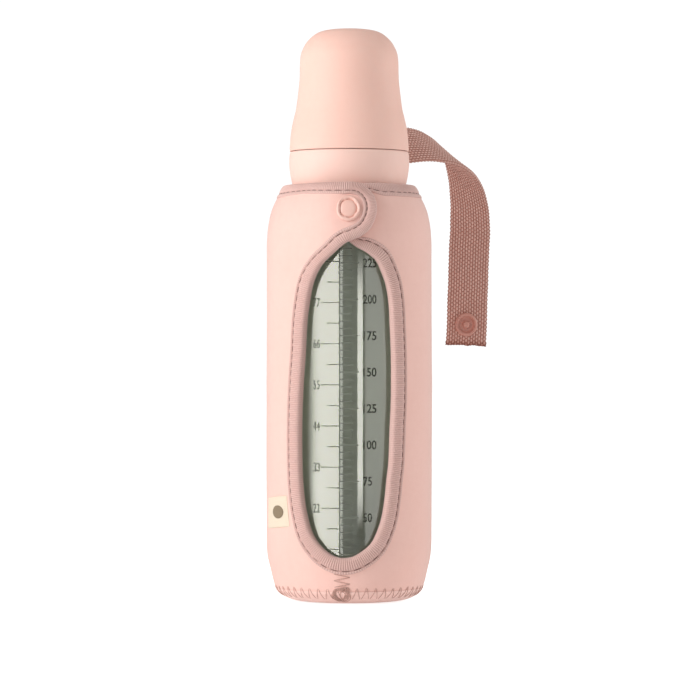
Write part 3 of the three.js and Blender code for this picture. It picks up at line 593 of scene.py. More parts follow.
def hinge_weight(deg0, t):
    """how far a point of the fabric turns with the tab; deg0 counts from the front"""
    r = prof(t)[0]
    u = (deg0 - HINGE) * RAD * r
    return smoothstep(u, -3.2, 3.2) * smoothstep(t, 116.5, 121.0)


def set_blend(o, weights):
    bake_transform(o)


def sleeve_relief(deg, t):
    """soft hollows and swells of the foam sheet, in mm"""
    u = np.asarray(deg) * RAD * 29.7
    return 0.10 * wobble(u, t, 60, 3) + 0.05 * wobble(u, t, 22, 4)


# ------------------------------------------------------------------ sleeve sheet, tab included
RAW = 1.0
CUT = -5.5
s_all = np.arange(0, EDGE_LEN - 0.2, 1.5)
p_, du_, dt_ = edge_frame(s_all)
raw = np.stack([p_[:, 0] + du_ * RAW, p_[:, 1] + dt_ * RAW], -1)
is_tab_raw = s_all >= S_FOOT - 1e-6
raw[is_tab_raw, 0] += 360.0
# order: neck edge (from the fold), lap, window's right side, bottom | left side, fold foot, tab
i_cut = int(np.argmax((raw[:, 0] < CUT - 360) & (s_all > S_WINDOW + 60)))
t_cut = float(np.interp(CUT - 360, raw[i_cut - 2:i_cut + 2, 0][::-1], raw[i_cut - 2:i_cut + 2, 1][::-1]))
part_a = raw[:i_cut]                      # neck to the cut, angles -19 to -365
part_b = raw[i_cut:].copy()               # rest, brought to the front turn
part_b[part_b[:, 0] < -300, 0] += 360.0
cut_t = np.linspace(T_LOW, t_cut, 9)
bottom_deg = np.linspace(CUT - 360, CUT, 126)
outline = []
outline += [(CUT - 360, t) for t in cut_t[::-1]][:-1]
outline += [(d, T_LOW) for d in bottom_deg]
outline += [(CUT, t) for t in cut_t[1:]]
outline += [tuple(q) for q in part_b]
outline += [tuple(q) for q in part_a]
outline = np.array(outline)
R0 = 29.7
flat = np.stack([outline[:, 0] * RAD * R0, outline[:, 1]], -1)
STEP = 1.55
gu = np.arange((CUT - 360) * RAD * R0 - 20, 45 * RAD * R0, STEP)
gt = np.arange(T_LOW, T_TOP, STEP * 0.9)
GU, GT = np.meshgrid(gu, gt, indexing="ij")
GU = GU + (np.arange(len(gt)) % 2)[None, :] * STEP * 0.5
grid = np.stack([GU.ravel(), GT.ravel()], -1)


def inside_poly(pts, poly):
    x, y = pts[:, 0], pts[:, 1]
    inside = np.zeros(len(pts), bool)
    n = len(poly)
    for i in range(n):
        x1, y1 = poly[i]
        x2, y2 = poly[(i + 1) % n]
        if y1 == y2:
            continue
        c = ((y1 > y) != (y2 > y)) & (x < (x2 - x1) * (y - y1) / (y2 - y1) + x1)
        inside ^= c
    return inside


def near_line(pts, poly, d):
    near = np.zeros(len(pts), bool)
    n = len(poly)
    for i in range(n):
        a, b = np.array(poly[i]), np.array(poly[(i + 1) % n])
        ab = b - a
        L = ab @ ab
        if L < 1e-12:
            continue
        k = np.clip(((pts - a) @ ab) / L, 0, 1)
        q = a + k[:, None] * ab
        near |= ((pts - q) ** 2).sum(1) < d * d
    return near


ok = inside_poly(grid, flat)
grid = grid[ok]
grid = grid[~near_line(grid, flat, STEP * 0.55)]
coords = [Vector(p) for p in np.vstack([flat, grid])]
nb = len(flat)
res = mgeo.delaunay_2d_cdt(coords, [(i, (i + 1) % nb) for i in range(nb)], [list(range(nb))], 1, 1e-7)
v2 = np.array([tuple(v) for v in res[0]])
tris = [f for f in res[2]]
deg2, t2 = v2[:, 0] / (RAD * R0), v2[:, 1]
tab_zone = (deg2 > HINGE - 0.01) & (t2 > 110)
lift2 = np.where(deg2 > -90, ramp(deg2, t2), 0.0)
relief = np.where(tab_zone, 0.4, 1.0) * sleeve_relief(deg2, t2)
# the fabric's own swell inside the closure snap, and a soft pull round it
mm_u = (deg2 - SNAP_DEG) * RAD * (prof(t2)[0] + TAB_LIFT)
d_snap = np.hypot(mm_u, t2 - SNAP_T)
relief = relief + np.where(tab_zone, 0.10 * np.exp(-(d_snap / 1.8) ** 2) - 0.34 * np.exp(-((d_snap - 4.5) / 0.75) ** 2), 0)
# the sheet rolls in at the base seam
roll = 0.07 * np.exp(-((t2 - T_LOW) / 0.6) ** 2)
# the sheet dips under the neck binding, which lies level with it
roll = roll + 0.30 * smoothstep(t2, T_TOP - 5.6, T_TOP - 3.8) * (deg2 < -60)
n2 = len(v2)
top = surf(deg2, t2, lift2 + relief - roll)
bot = surf(deg2, t2, lift2 - NEOPRENE + 0.3 * relief)
edges_count = {}
for f in tris:
    for k in range(3):
        e = (f[k], f[(k + 1) % 3])
        edges_count[frozenset(e)] = edges_count.get(frozenset(e), []) + [e]
faces = [tuple(f) for f in tris] + [tuple(i + n2 for i in reversed(f)) for f in tris]
for key, es in edges_count.items():
    if len(es) == 1:
        a, b = es[0]
        on_cut = (abs(deg2[a] - CUT) < 1e-3 and abs(deg2[b] - CUT) < 1e-3) or (abs(deg2[a] - CUT + 360) < 1e-3 and abs(deg2[b] - CUT + 360) < 1e-3)
        if on_cut and t2[a] < t_cut + 0.01 and t2[b] < t_cut + 0.01:
            continue
        faces.append((b, a, a + n2, b + n2))
verts = np.vstack([top, bot])
deg_all, t_all = np.r_[deg2, deg2], np.r_[t2, t2]
fabco = np.stack([deg_all * RAD * R0, t_all, np.zeros(2 * n2)], -1)
inner = np.r_[np.zeros(n2), np.ones(n2)]
w_all = np.where(deg_all > -200, hinge_weight(deg_all, t_all), 0.0) * (t_all > 100)
# orientation, then weld the two sides of the front seam
c_mid = np.array([0, 0, 80.0])
if volume_sign(verts - c_mid, faces[: len(tris)]) < 0:
    faces = [tuple(reversed(f)) for f in faces]
key = np.round(verts, 4)
pair = {}
remap = np.arange(len(verts))
on = np.where((np.abs(deg_all - CUT) < 1e-3) | (np.abs(deg_all - CUT + 360) < 1e-3))[0]
on = [i for i in on if t_all[i] <= t_cut + 0.02]
for i in on:
    k = (round(float(t_all[i]), 3), int(i >= n2))
    if k in pair:
        remap[i] = pair[k]
    else:
        pair[k] = i
faces = [tuple(int(remap[i]) for i in f) for f in faces]
used = np.unique([i for f in faces for i in f])
back = -np.ones(len(verts), int)
back[used] = np.arange(len(used))
faces = [tuple(int(back[i]) for i in f) for f in faces]
sleeve = new_mesh("sleeve_fabric", verts[used], faces, M_NEO,
                  attrs={"fab": ("FLOAT_VECTOR", fabco[used]), "inner": ("FLOAT", inner[used])})
set_blend(sleeve, w_all[used])
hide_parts("sleeve_wrap", "closure_tab")
print("sleeve", len(used), "verts")


# ------------------------------------------------------------------ binding round the free edge
RIB = EDGE_LEN / round(EDGE_LEN / 0.64)
PER_RIB = 5
n_st = int(round(EDGE_LEN / RIB)) * PER_RIB
S = np.arange(n_st) * (RIB / PER_RIB)


def widths(s):
    """(stitch line, outer edge, puff height) of the binding at s"""
    lap_in = smoothstep(s, S_NECK_END - 9, S_NECK_END - 1) * (1 - smoothstep(s, S_LAP_END - 1, S_LAP_END + 9))
    win = smoothstep(s, S_LAP_END + 2, S_LAP_END + 16) * (1 - smoothstep(s, S_FOOT - 10, S_FOOT + 4))
    neck = (1 - smoothstep(s, S_NECK_END - 6, S_NECK_END)) * smoothstep(s, 6, 26)
    groove = 3.3 + 0.6 * neck + 1.4 * win
    outer = 4.6 + 1.05 * neck + 1.3 * win
    groove = groove * (1 - lap_in) + 2.35 * lap_in
    outer = outer * (1 - lap_in) + 3.3 * lap_in
    puff = 0.78 + 0.12 * win - 0.22 * neck
    puff = puff * (1 - lap_in) + 0.5 * lap_in
    return groove, outer, puff


groove, outer, puff = widths(S)
F, Du, Dt = edge_frame(S)
rib_wave = 0.5 + 0.5 * np.cos(S / RIB * 2 * math.pi)
soft = 1 + 0.05 * wobble(S, S * 0, 9, 11) + 0.04 * wobble(S, S * 0, 3, 12)
# section: (share, kind) from inside over the fold to the outer lip, then back through the fabric
SEC = []
for w, o in [(0.97, -0.12), (0.93, -0.30), (0.75, -0.36), (0.5, -0.38), (0.28, -0.38)]:
    SEC.append(("in", w, o))
for w, o in [(0.9, -2.58), (0.45, -2.45), (0.15, -2.12), (0.0, -1.6), (-0.05, -1.0), (0.0, -0.4), (0.16, 0.1), (0.42, 0.42)]:
    SEC.append(("fold", w, o))
for w, o in [(0.16, 0.74), (0.25, 0.9), (0.36, 0.98), (0.5, 1.0), (0.64, 0.95), (0.76, 0.84), (0.86, 0.62), (0.93, 0.36), (0.97, 0.16)]:
    SEC.append(("out", w, o))
for w, o in [(0.0, 0.03), (0.12, 0.14), (0.3, 0.38), (0.5, 0.46), (0.72, 0.42), (0.9, 0.26), (1.0, 0.05), (1.0, -0.15)]:
    SEC.append(("lip", w, o))
SEC.append(("back", 0.6, -0.2))
SEC.append(("back", 0.25, -0.3))
SEC.append(("back", 0.25, -1.9))
SEC.append(("back", 0.6, -2.0))
rows, ribs, fabs, wts = [], [], [], []
NECK = (1 - smoothstep(S, S_NECK_END - 6, S_NECK_END)) * smoothstep(S, 6, 26)
for kind, w, o in SEC:
    if kind == "in":
        ww, oo, amp = outer * w * 0.96, -NEOPRENE + o + 0 * S, 0.05
    elif kind == "fold":
        ww, oo, amp = w + 0 * S, (o if o > -1 else -1 + (o + 1) * (1 - 0.35 * NECK)) + 0 * S, 0.08
        if o > 0:
            oo = o * puff / 0.78
        if w < 0.3:
            ww = w - 0.05 * (rib_wave - 0.5)
    elif kind == "out":
        ww, oo, amp = groove * w, o * puff * soft, 0.17
    elif kind == "lip":
        ww, oo, amp = groove + (outer - groove) * w, (o * (puff / 0.85) if o > 0.1 else o + 0 * S), 0.09
        if w > 0.9:
            ww = ww + 0.06 * (rib_wave - 0.5)
    else:
        ww, oo, amp = outer * w, o + 0 * S, 0.0
    # k sets how much the rib crests show; the stored value is painted light and shade: light on the rib crests, dark in
    # the valleys, the stitch groove, the outer edge and the underside
    k = 0.0
    if kind == "out":
        k = 1 - smoothstep(w, 0.86, 1.0)
    elif kind == "lip":
        k = smoothstep(w, 0.05, 0.3) * (1 - smoothstep(w, 0.85, 1.0))
    elif kind in ("fold", "in"):
        k = 0.6
    deg = F[:, 0] + Du * ww
    t = F[:, 1] + Dt * ww
    lift = tab_turn(S, deg, t)
    sign = -1 if (kind == "in" or (kind == "fold" and o < -1.6)) else 1
    off = oo + sign * amp * k * (rib_wave - 0.5) * 2 * (puff / 0.85)
    rows.append(surf(deg, t, off + lift))
    ribs.append(rib_wave * k + (1 - k) * 0.15)
    fabs.append(np.stack([S, ww + (10 if kind == "in" else 0), oo], -1))
    front = front_turn(S, deg)
    wts.append(np.where(front > -60, hinge_weight(front, t), 0.0) * (t > 100))
n_sec = len(rows)
verts = np.stack(rows, 1).reshape(-1, 3)
faces = grid_faces(n_st, n_sec, wrap_n=True, wrap_m=True)
bind = new_mesh("edge_binding_tape", verts, faces, M_TAPE,
                attrs={"fab": ("FLOAT_VECTOR", np.stack(fabs, 1).reshape(-1, 3)),
                       "rib": ("FLOAT", np.stack(ribs, 1).ravel())})


def fix_normals(o):
    import bmesh
    b = bmesh.new()
    b.from_mesh(o.data)
    bmesh.ops.recalc_face_normals(b, faces=b.faces)
    b.to_mesh(o.data)
    b.free()


fix_normals(bind)
set_blend(bind, np.stack(wts, 1).ravel())
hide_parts("edge_binding", "tab_binding")


# ------------------------------------------------------------------ thread
def tube(points, radius, sides=7, closed=False, cap=True):
    """(verts, faces, fab) of a thread through points in mm; radius may vary along it"""
    P = np.asarray(points, float)
    n = len(P)
    radius = np.broadcast_to(radius, (n,))
    T = np.gradient(P, axis=0) if not closed else np.roll(P, -1, 0) - np.roll(P, 1, 0)
    T /= np.maximum(np.linalg.norm(T, axis=1), 1e-9)[:, None]
    up = P * np.array([1, 1, 0.0])
    up /= np.maximum(np.linalg.norm(up, axis=1), 1e-9)[:, None]
    side = np.cross(T, up)
    bad = np.linalg.norm(side, axis=1) < 0.05
    side[bad] = np.cross(T[bad], np.array([0.3, 0.2, 0.9]))
    side /= np.linalg.norm(side, axis=1)[:, None]
    upn = np.cross(side, T)
    a = np.arange(sides) / sides * 2 * math.pi
    V = P[:, None] + radius[:, None, None] * (np.cos(a)[None, :, None] * side[:, None] + np.sin(a)[None, :, None] * upn[:, None])
    faces = [tuple(f) for f in grid_faces(n, sides, wrap_n=closed, wrap_m=True)]
    if not closed and cap:
        faces += [tuple(range(sides))[::-1], tuple(range((n - 1) * sides, n * sides))]
    s = np.r_[0, np.cumsum(np.linalg.norm(np.diff(P, axis=0), axis=1))]
    fab = np.stack([np.repeat(s, sides), np.tile(a, n), np.zeros(n * sides)], -1)
    return V.reshape(-1, 3), faces, fab


def merge(parts):
    vs, fs, fb, base = [], [], [], 0
    for v, f, b in parts:
        vs.append(v)
        fs += [tuple(i + base for i in q) for q in f]
        fb.append(b)
        base += len(v)
    return np.vstack(vs), fs, np.vstack(fb)


def NECKF(s):
    return (1 - smoothstep(s, S_NECK_END - 6, S_NECK_END)) * smoothstep(s, 6, 26)


parts, wts = [], []
DASH = EDGE_LEN / round(EDGE_LEN / 2.9)
r2 = np.random.default_rng(21)
for i in range(int(round(EDGE_LEN / DASH))):
    s0 = i * DASH
    L = DASH * (0.90 + 0.07 * r2.uniform(-1, 1))
    ss = s0 + np.linspace(0, L, 7)
    g, o_, pf = widths(ss % EDGE_LEN)
    side = 0.05 * r2.uniform(-1, 1) + 0.06 * np.sin(ss * 0.31) + 0.04 * np.sin(ss * 0.9)
    P, du, dt = edge_frame(ss)
    ww = g + side
    deg, t = P[:, 0] + du * ww, P[:, 1] + dt * ww
    sm = ss % EDGE_LEN
    lift = tab_turn(sm, deg, t)
    h = np.array([-0.16, 0.03, 0.08, 0.10, 0.08, 0.03, -0.16]) - 0.03 * NECKF(sm)
    pts = surf(deg, t, h + lift)
    v, f, b = tube(pts, np.array([0.08, 0.13, 0.15, 0.15, 0.15, 0.13, 0.08]), sides=6)
    parts.append((v, f, b))
    front = front_turn(sm, deg)
    wts.append(np.repeat(np.where(front > -60, hinge_weight(front, t), 0.0) * (t > 100), 6))
v, f, b = merge(parts)
hem = new_mesh("binding_stitches", v, f, M_STITCH, attrs={"fab": ("FLOAT_VECTOR", b)})
fix_normals(hem)
set_blend(hem, np.concatenate(wts))


# ------------------------------------------------------------------ base pad and its zigzag seam
pad = [(0, 0.12), (9, 0.04), (13, 0.0)] + [tuple(p) for p in catmull([(14.6, 0.0), (16.6, 0.05), (18.6, 0.2), (20.4, 0.5), (22.0, 0.96), (23.3, 1.56), (24.3, 2.2), (25.1, 2.9), (25.68, 3.5), (26.12, 4.02), (26.34, 4.45), (26.45, 4.72)], 3)] + [
    (26.3, 4.7), (25.9, 4.2), (25.0, 4.3), (24.2, 4.4), (23.4, 4.1), (22.6, 3.6), (21.4, 3.1), (19.4, 2.8), (10, 2.6), (0, 2.6)]
base = rev("sleeve_base_pad", pad, 160, M_BASE_LIGHTENED, on_axis=(True, True))
co = np.array([v.co for v in base.data.vertices]) / MM
a = base.data.attributes.new("fab", "FLOAT_VECTOR", "POINT")
a.data.foreach_set("vector", np.stack([co[:, 0], co[:, 1], co[:, 2]], -1).astype(np.float32).ravel())
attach(base, "sleeve")
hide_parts("sleeve_base")

LOWC = catmull([(20.4, 0.5), (22.0, 0.96), (23.3, 1.56), (24.3, 2.2), (25.1, 2.9), (26.05, 4.05), (26.75, 5.6), (27.35, 7.5), (27.85, 9.6), (28.35, 11.8)], 8)
LOW_L = np.r_[0, np.cumsum(np.linalg.norm(np.diff(LOWC, axis=0), axis=1))]
LOW_D = np.gradient(LOWC, LOW_L, axis=0)
LOW_D /= np.linalg.norm(LOW_D, axis=1)[:, None]


def low(deg, z, h):
    l = np.interp(z, LOWC[:, 1], LOW_L)
    r, zz = np.interp(l, LOW_L, LOWC[:, 0]), np.interp(l, LOW_L, LOWC[:, 1])
    nr, nz = np.interp(l, LOW_L, LOW_D[:, 1]), np.interp(l, LOW_L, -LOW_D[:, 0])
    rr = r + nr * h
    return np.stack([rr * np.sin(np.asarray(deg) * RAD), -rr * np.cos(np.asarray(deg) * RAD), zz + nz * h], -1)


parts = []
ZIGS = 48
for i in range(ZIGS * 2):
    d0, d1 = i * 180.0 / ZIGS, (i + 1) * 180.0 / ZIGS
    up = i % 2 == 0
    k = np.linspace(0, 1, 9)
    zl, zh = 1.55 + 0.12 * r2.uniform(-1, 1), 6.3 + 0.25 * r2.uniform(-1, 1)
    z = zl + (zh - zl) * (k if up else 1 - k)
    deg = d0 + (d1 - d0) * (0.06 + 0.88 * k) + 0.35 * np.sin(k * math.pi) * (1 if up else -1)
    h = -0.24 + 0.34 * np.sin(np.clip(k, 0, 1) * math.pi) ** 0.4
    parts.append(tube(low(deg - 5.5, z, h), np.where((k < 0.01) | (k > 0.99), 0.08, 0.12), sides=6))
v, f, b = merge(parts)
zig = new_mesh("base_seam_zigzag", v, f, M_THREAD, attrs={"fab": ("FLOAT_VECTOR", b)})
fix_normals(zig)
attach(zig, "sleeve")
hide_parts("base_seam_thread")

parts = []
for i in range(4):
    z0, z1 = 6.4 + i * 1.2, 6.4 + (i + 1) * 1.2
    k = np.linspace(0, 1, 11)
    right = i % 2 == 0
    deg = CUT + 6.4 * ((-1 + 2 * k) if right else (1 - 2 * k))
    z = z0 + (z1 - z0) * k
    h = -0.12 + 0.36 * np.sin(k * math.pi) ** 0.4
    parts.append(tube(low(deg, z, h - 0.05), 0.13, sides=6))
for i in range(6):
    k = np.linspace(0, 1, 46)
    turns = 1.3 + 0.5 * r2.uniform(0, 1)
    a0, lean = r2.uniform(0, 6.28), r2.uniform(-0.5, 0.5)
    dd = CUT + r2.uniform(-2.8, 2.8) + (4.9 + 1.6 * r2.uniform(-1, 1)) * np.cos(a0 + turns * 2 * math.pi * k) + 1.2 * (k - 0.5)
    zz = 3.8 + r2.uniform(-0.7, 0.7) + (2.2 + 0.5 * r2.uniform(-1, 1)) * np.sin(a0 + lean + turns * 2 * math.pi * k)
    h = 0.0 + 0.035 * i + 0.12 * np.abs(np.sin(math.pi * 2.3 * k + i))
    h[0] = h[-1] = -0.15
    parts.append(tube(low(dd, np.clip(zz, 0.95, 6.8), h), 0.11, sides=6))
v, f, b = merge(parts)
fz = new_mesh("front_seam_zigzag", v, f, M_THREAD, attrs={"fab": ("FLOAT_VECTOR", b)})
fix_normals(fz)
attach(fz, "sleeve")
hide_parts("front_seam_thread")


# ------------------------------------------------------------------ closure snap
def on_surface(deg, t, proud, lift):
    def place(x, y, h):
        m = (float(prof(t)[0]) + proud) * RAD
        d = deg + np.asarray(x) / m
        return surf(d, t + np.asarray(y), np.asarray(h) + (ramp(d, t + np.asarray(y)) if lift else 0))
    return place


def scalloped(name, points, seg, place, mat, lobes, depth, limit):
    a = np.arange(seg) / seg * 2 * math.pi
    wave = depth * np.abs(np.cos(a * lobes / 2)) ** 0.7
    verts = []
    for d, h in points:
        dd = d + wave * np.clip((limit - d) / 0.5, 0, 1) if d < limit else d + 0 * a
        verts.append(place(dd * np.cos(a), dd * np.sin(a), np.full(seg, h)))
    v = np.vstack(verts)
    f = grid_faces(len(points), seg, wrap_n=True, wrap_m=True)
    o = new_mesh(name, v, f, mat)
    fix_normals(o)
    return o


face_tab = on_surface(SNAP_DEG, SNAP_T, TAB_LIFT, True)
face_lap = on_surface(SNAP_DEG, SNAP_T, 0, False)
ring_prof = catmull([(2.72, -0.1), (2.76, 0.36), (2.95, 0.64), (3.35, 0.80), (3.7, 0.84), (3.98, 0.68), (4.16, 0.42), (4.22, 0.12), (4.2, -0.1), (3.4, -0.15)], 3, closed=True)
ring = scalloped("tab_snap_front", ring_prof, 120, face_tab, M_SNAP, 5, 0.44, 3.6)
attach(ring, "tab")
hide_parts("tab_snap_ring")
seat_prof = catmull([(4.25, -0.02), (4.5, 0.10), (4.75, 0.03), (4.8, -0.2), (4.3, -0.25)], 3, closed=True)
# fabric puckers a little against the ring
inner_fab = [(0, 0.52), (1.2, 0.50), (2.0, 0.44), (2.5, 0.34), (2.85, 0.14), (3.05, -0.1), (3.1, -0.3), (0, -0.3)]
dome = turned_on("tab_snap_fabric", inner_fab, 48, face_tab, M_SNAP)
co = np.array([v.co for v in dome.data.vertices]) / MM
dome.data.attributes.new("fab", "FLOAT_VECTOR", "POINT").data.foreach_set("vector", co[:, [0, 2, 1]].astype(np.float32).ravel())
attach(dome, "tab")

g = -NEOPRENE
sock = turned_on("tab_snap_back", [tuple(p) for p in catmull([(1.75, g - 0.05), (3.3, g - 0.05), (3.75, g - 0.1), (3.8, g - 0.3), (3.5, g - 0.52), (2.9, g - 0.6), (2.2, g - 0.58), (1.8, g - 0.4)], 3, closed=True)], 48, face_tab, M_SNAP)
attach(sock, "tab")
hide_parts("tab_snap_socket")
stud = turned_on("lap_snap_post", [(0, 0.1), (1.9, 0.1), (3.4, 0.1), (3.7, 0.2), (3.68, 0.38), (3.4, 0.5), (2.2, 0.52), (1.5, 0.56), (1.28, 0.75), (1.25, 1.1), (1.36, 1.4), (1.3, 1.7), (1.0, 1.88), (0, 1.92)], 48, face_lap, M_SNAP)
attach(stud, "sleeve")
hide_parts("lap_snap_stud")
lring = turned_on("lap_snap_back", [tuple(p) for p in catmull([(2.35, g - 0.05), (3.4, g - 0.05), (3.7, g - 0.15), (3.6, g - 0.42), (3.1, g - 0.52), (2.5, g - 0.42)], 3, closed=True)], 48, face_lap, M_SNAP)
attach(lring, "sleeve")
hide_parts("lap_snap_ring")


# ------------------------------------------------------------------ side label
n_u, n_v = 70, 46
lowz, highz = 26.8, 37.9
U, Vv = np.meshgrid(np.linspace(0, 1, n_u), np.linspace(0, 1, n_v), indexing="ij")
left = -74.2 + 0.6 * Vv
right = -45.0 - 3.0 * Vv
D = left + (right - left) * U
Z = lowz + (highz - lowz) * Vv + 1.25 * (U - 0.5)
edge_dip = np.minimum(1, np.minimum(np.minimum(U, 1.2) * 26, np.minimum(Vv, 1 - Vv) * 22))
tuck = 0.30 * smoothstep(U, 0.86, 1.0)
off_top = 0.16 + 0.26 * np.sqrt(np.clip(edge_dip, 0, 1)) - tuck + 0.018 * np.sin(Z * 2 * math.pi / 0.55) + 0.03 * wobble(D * 0.5, Z, 6, 31)
off_top += sleeve_relief(D - 0, t_of(Z)) * 0.9
off_bot = np.minimum(off_top - 0.12, 0.02 + 0 * U)
T_ = t_of(Z)
topv = surf(D.ravel(), T_.ravel(), off_top.ravel())
botv = surf(D.ravel(), T_.ravel(), off_bot.ravel())
gf = grid_faces(n_u, n_v)
nn = n_u * n_v
fl = [tuple(q) for q in gf] + [tuple(int(i) + nn for i in q[::-1]) for q in gf]
loop = [i * n_v for i in range(n_u)] + [(n_u - 1) * n_v + j for j in range(1, n_v)] + [i * n_v + n_v - 1 for i in range(n_u - 2, -1, -1)] + [j for j in range(n_v - 2, 0, -1)]
for i in range(len(loop)):
    a, b = loop[i], loop[(i + 1) % len(loop)]
    fl.append((a, b, b + nn, a + nn))
# the stored rib value darkens the ribbon between its ribs: painted shade in the rib valleys
lab = new_mesh("side_label_ribbon", np.vstack([topv, botv]), fl, M_LABEL,
               attrs={"fab": ("FLOAT_VECTOR", np.tile(np.stack([(D * RAD * 29.7).ravel(), Z.ravel(), 0 * Z.ravel()], -1), (2, 1))),
                      "rib": ("FLOAT", np.tile(np.clip(0.8 + 0.2 * np.sin(Z * 2 * math.pi / 0.55), 0, 1).ravel(), 2))})
fix_normals(lab)
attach(lab, "sleeve")
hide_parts("side_label")
_dot = on_surface(-57.2, float(t_of(32.5)), 0, False)


def dot_place(x, y, h):
    return _dot(np.asarray(x) * 1.45, y, np.asarray(h) + 0.24)


dot = turned_on("label_dot", [(0, 0.50), (2.0, 0.50), (2.2, 0.46), (2.3, 0.36), (2.3, 0.2), (0, 0.2)], 40, dot_place, M_MARK)
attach(dot, "sleeve")


# ------------------------------------------------------------------ strap
FOLD = dict(a=-40.63, g=51.32, start=-20.7, length=91.9, depth=0.5)
FIRST = dict(a=50.35, g=39.65, length=22.0, depth=0.3)
STRAP_W, STRAP_T, ROOT_DEG, STRAP_OFF = 15.5, 1.5, 206.9, 0.85


def _frame(axis, g, phi, depth):
    a = np.array([math.cos(axis * RAD), 0, math.sin(axis * RAD)])
    b = np.array([-math.sin(axis * RAD), 0, math.cos(axis * RAD)])
    cg, sg, cp, sp = math.cos(g * RAD), math.sin(g * RAD), math.cos(phi), math.sin(phi)
    t = cg * a + sg * cp * b
    w = -sg * a + cg * cp * b
    t[1], w[1] = sg * sp * depth, cg * sp * depth
    return t, w


def _ribbon():
    step = 0.5
    start = np.array([-0.5, 25.9, 160.9])
    rows, c = [], start.copy()
    for s in np.arange(FOLD["start"], 106.01, step):
        phi = math.pi * min(1, max(0, (s - FOLD["start"]) / FOLD["length"]))
        t, w = _frame(FOLD["a"], FOLD["g"], phi, FOLD["depth"])
        rows.append((s, c.copy(), t, w))
        c = c + t * step
    first, c = [], start.copy()
    s = FOLD["start"]
    while s >= FOLD["start"] - 30:
        phi = max(0.0, math.pi * (s - (FOLD["start"] - FIRST["length"])) / FIRST["length"])
        t, w = _frame(FIRST["a"], FIRST["g"], phi, FIRST["depth"])
        first.append((s, c.copy(), t, -w))
        c = c - t * step
        s -= step
    rows = first[::-1][:-1] + rows
    S_ = np.array([r[0] for r in rows])
    C = np.array([r[1] for r in rows])
    T = np.array([r[2] for r in rows])
    W = np.array([r[3] for r in rows])
    f = 1 + C[:, 1] / 1228.0
    C = np.stack([C[:, 0] * f, C[:, 1], 90 + (C[:, 2] - 90) * f], -1)
    k = np.array([1, 2, 3, 4, 5, 4, 3, 2, 1.0])
    k /= k.sum()
    def sm(A):
        P = np.pad(A, ((4, 4), (0, 0)), mode="edge")
        return np.stack([np.convolve(P[:, j], k, mode="valid") for j in range(3)], -1)
    return S_, C, sm(T), sm(W)


RS, RC, RT, RW = _ribbon()


def ribbon(s, x, h):
    """points of the strap: s along it, x across it, h above its middle"""
    s, x, h = np.broadcast_arrays(np.asarray(s, float), np.asarray(x, float), np.asarray(h, float))
    def at(A):
        return np.stack([np.interp(s, RS, A[:, j]) for j in range(3)], -1)
    c, t, w = at(RC), at(RT), at(RW)
    n = np.cross(t, w)
    n /= np.linalg.norm(n, axis=-1)[..., None]
    return c + w * x[..., None] + n * h[..., None]


S_NECK = -42.9          # where the strap leaves the sleeve's top edge


def strap_point(s, x, h):
    s, x, h = np.broadcast_arrays(np.asarray(s, float), np.asarray(x, float), np.asarray(h, float))
    t = np.minimum(T_TOP + (s - S_NECK), T_TOP + 3.5)
    r = prof(np.minimum(t, T_TOP))[0]
    root = surf(ROOT_DEG - x / (r * RAD), t, STRAP_OFF + STRAP_T / 2 + h)
    rib = ribbon(s, x, h)
    k = smoothstep(s, -46.5, -39.5)[..., None]
    return root * (1 - k) + rib * k


ROW, COL = 0.70, 1.0   # weave: pick spacing along the strap, end spacing across it


def weave(s, x):
    """(height 0-1, is-warp) of a plain weave"""
    def floats(x, s):
        dx = (x + COL) % (2 * COL) - COL
        ds = (s + ROW) % (2 * ROW) - ROW
        return np.clip(1 - (dx / 0.40) ** 2, 0, 1) ** 0.7 * np.clip(1 - (ds / 0.62) ** 2, 0, 1) ** 0.6
    wf = np.maximum(floats(x, s), floats(x + COL, s + ROW))
    wt = 0.30 * (0.5 + 0.5 * np.cos(2 * math.pi * s / ROW)) * (1 - wf)
    return wf + wt, wf


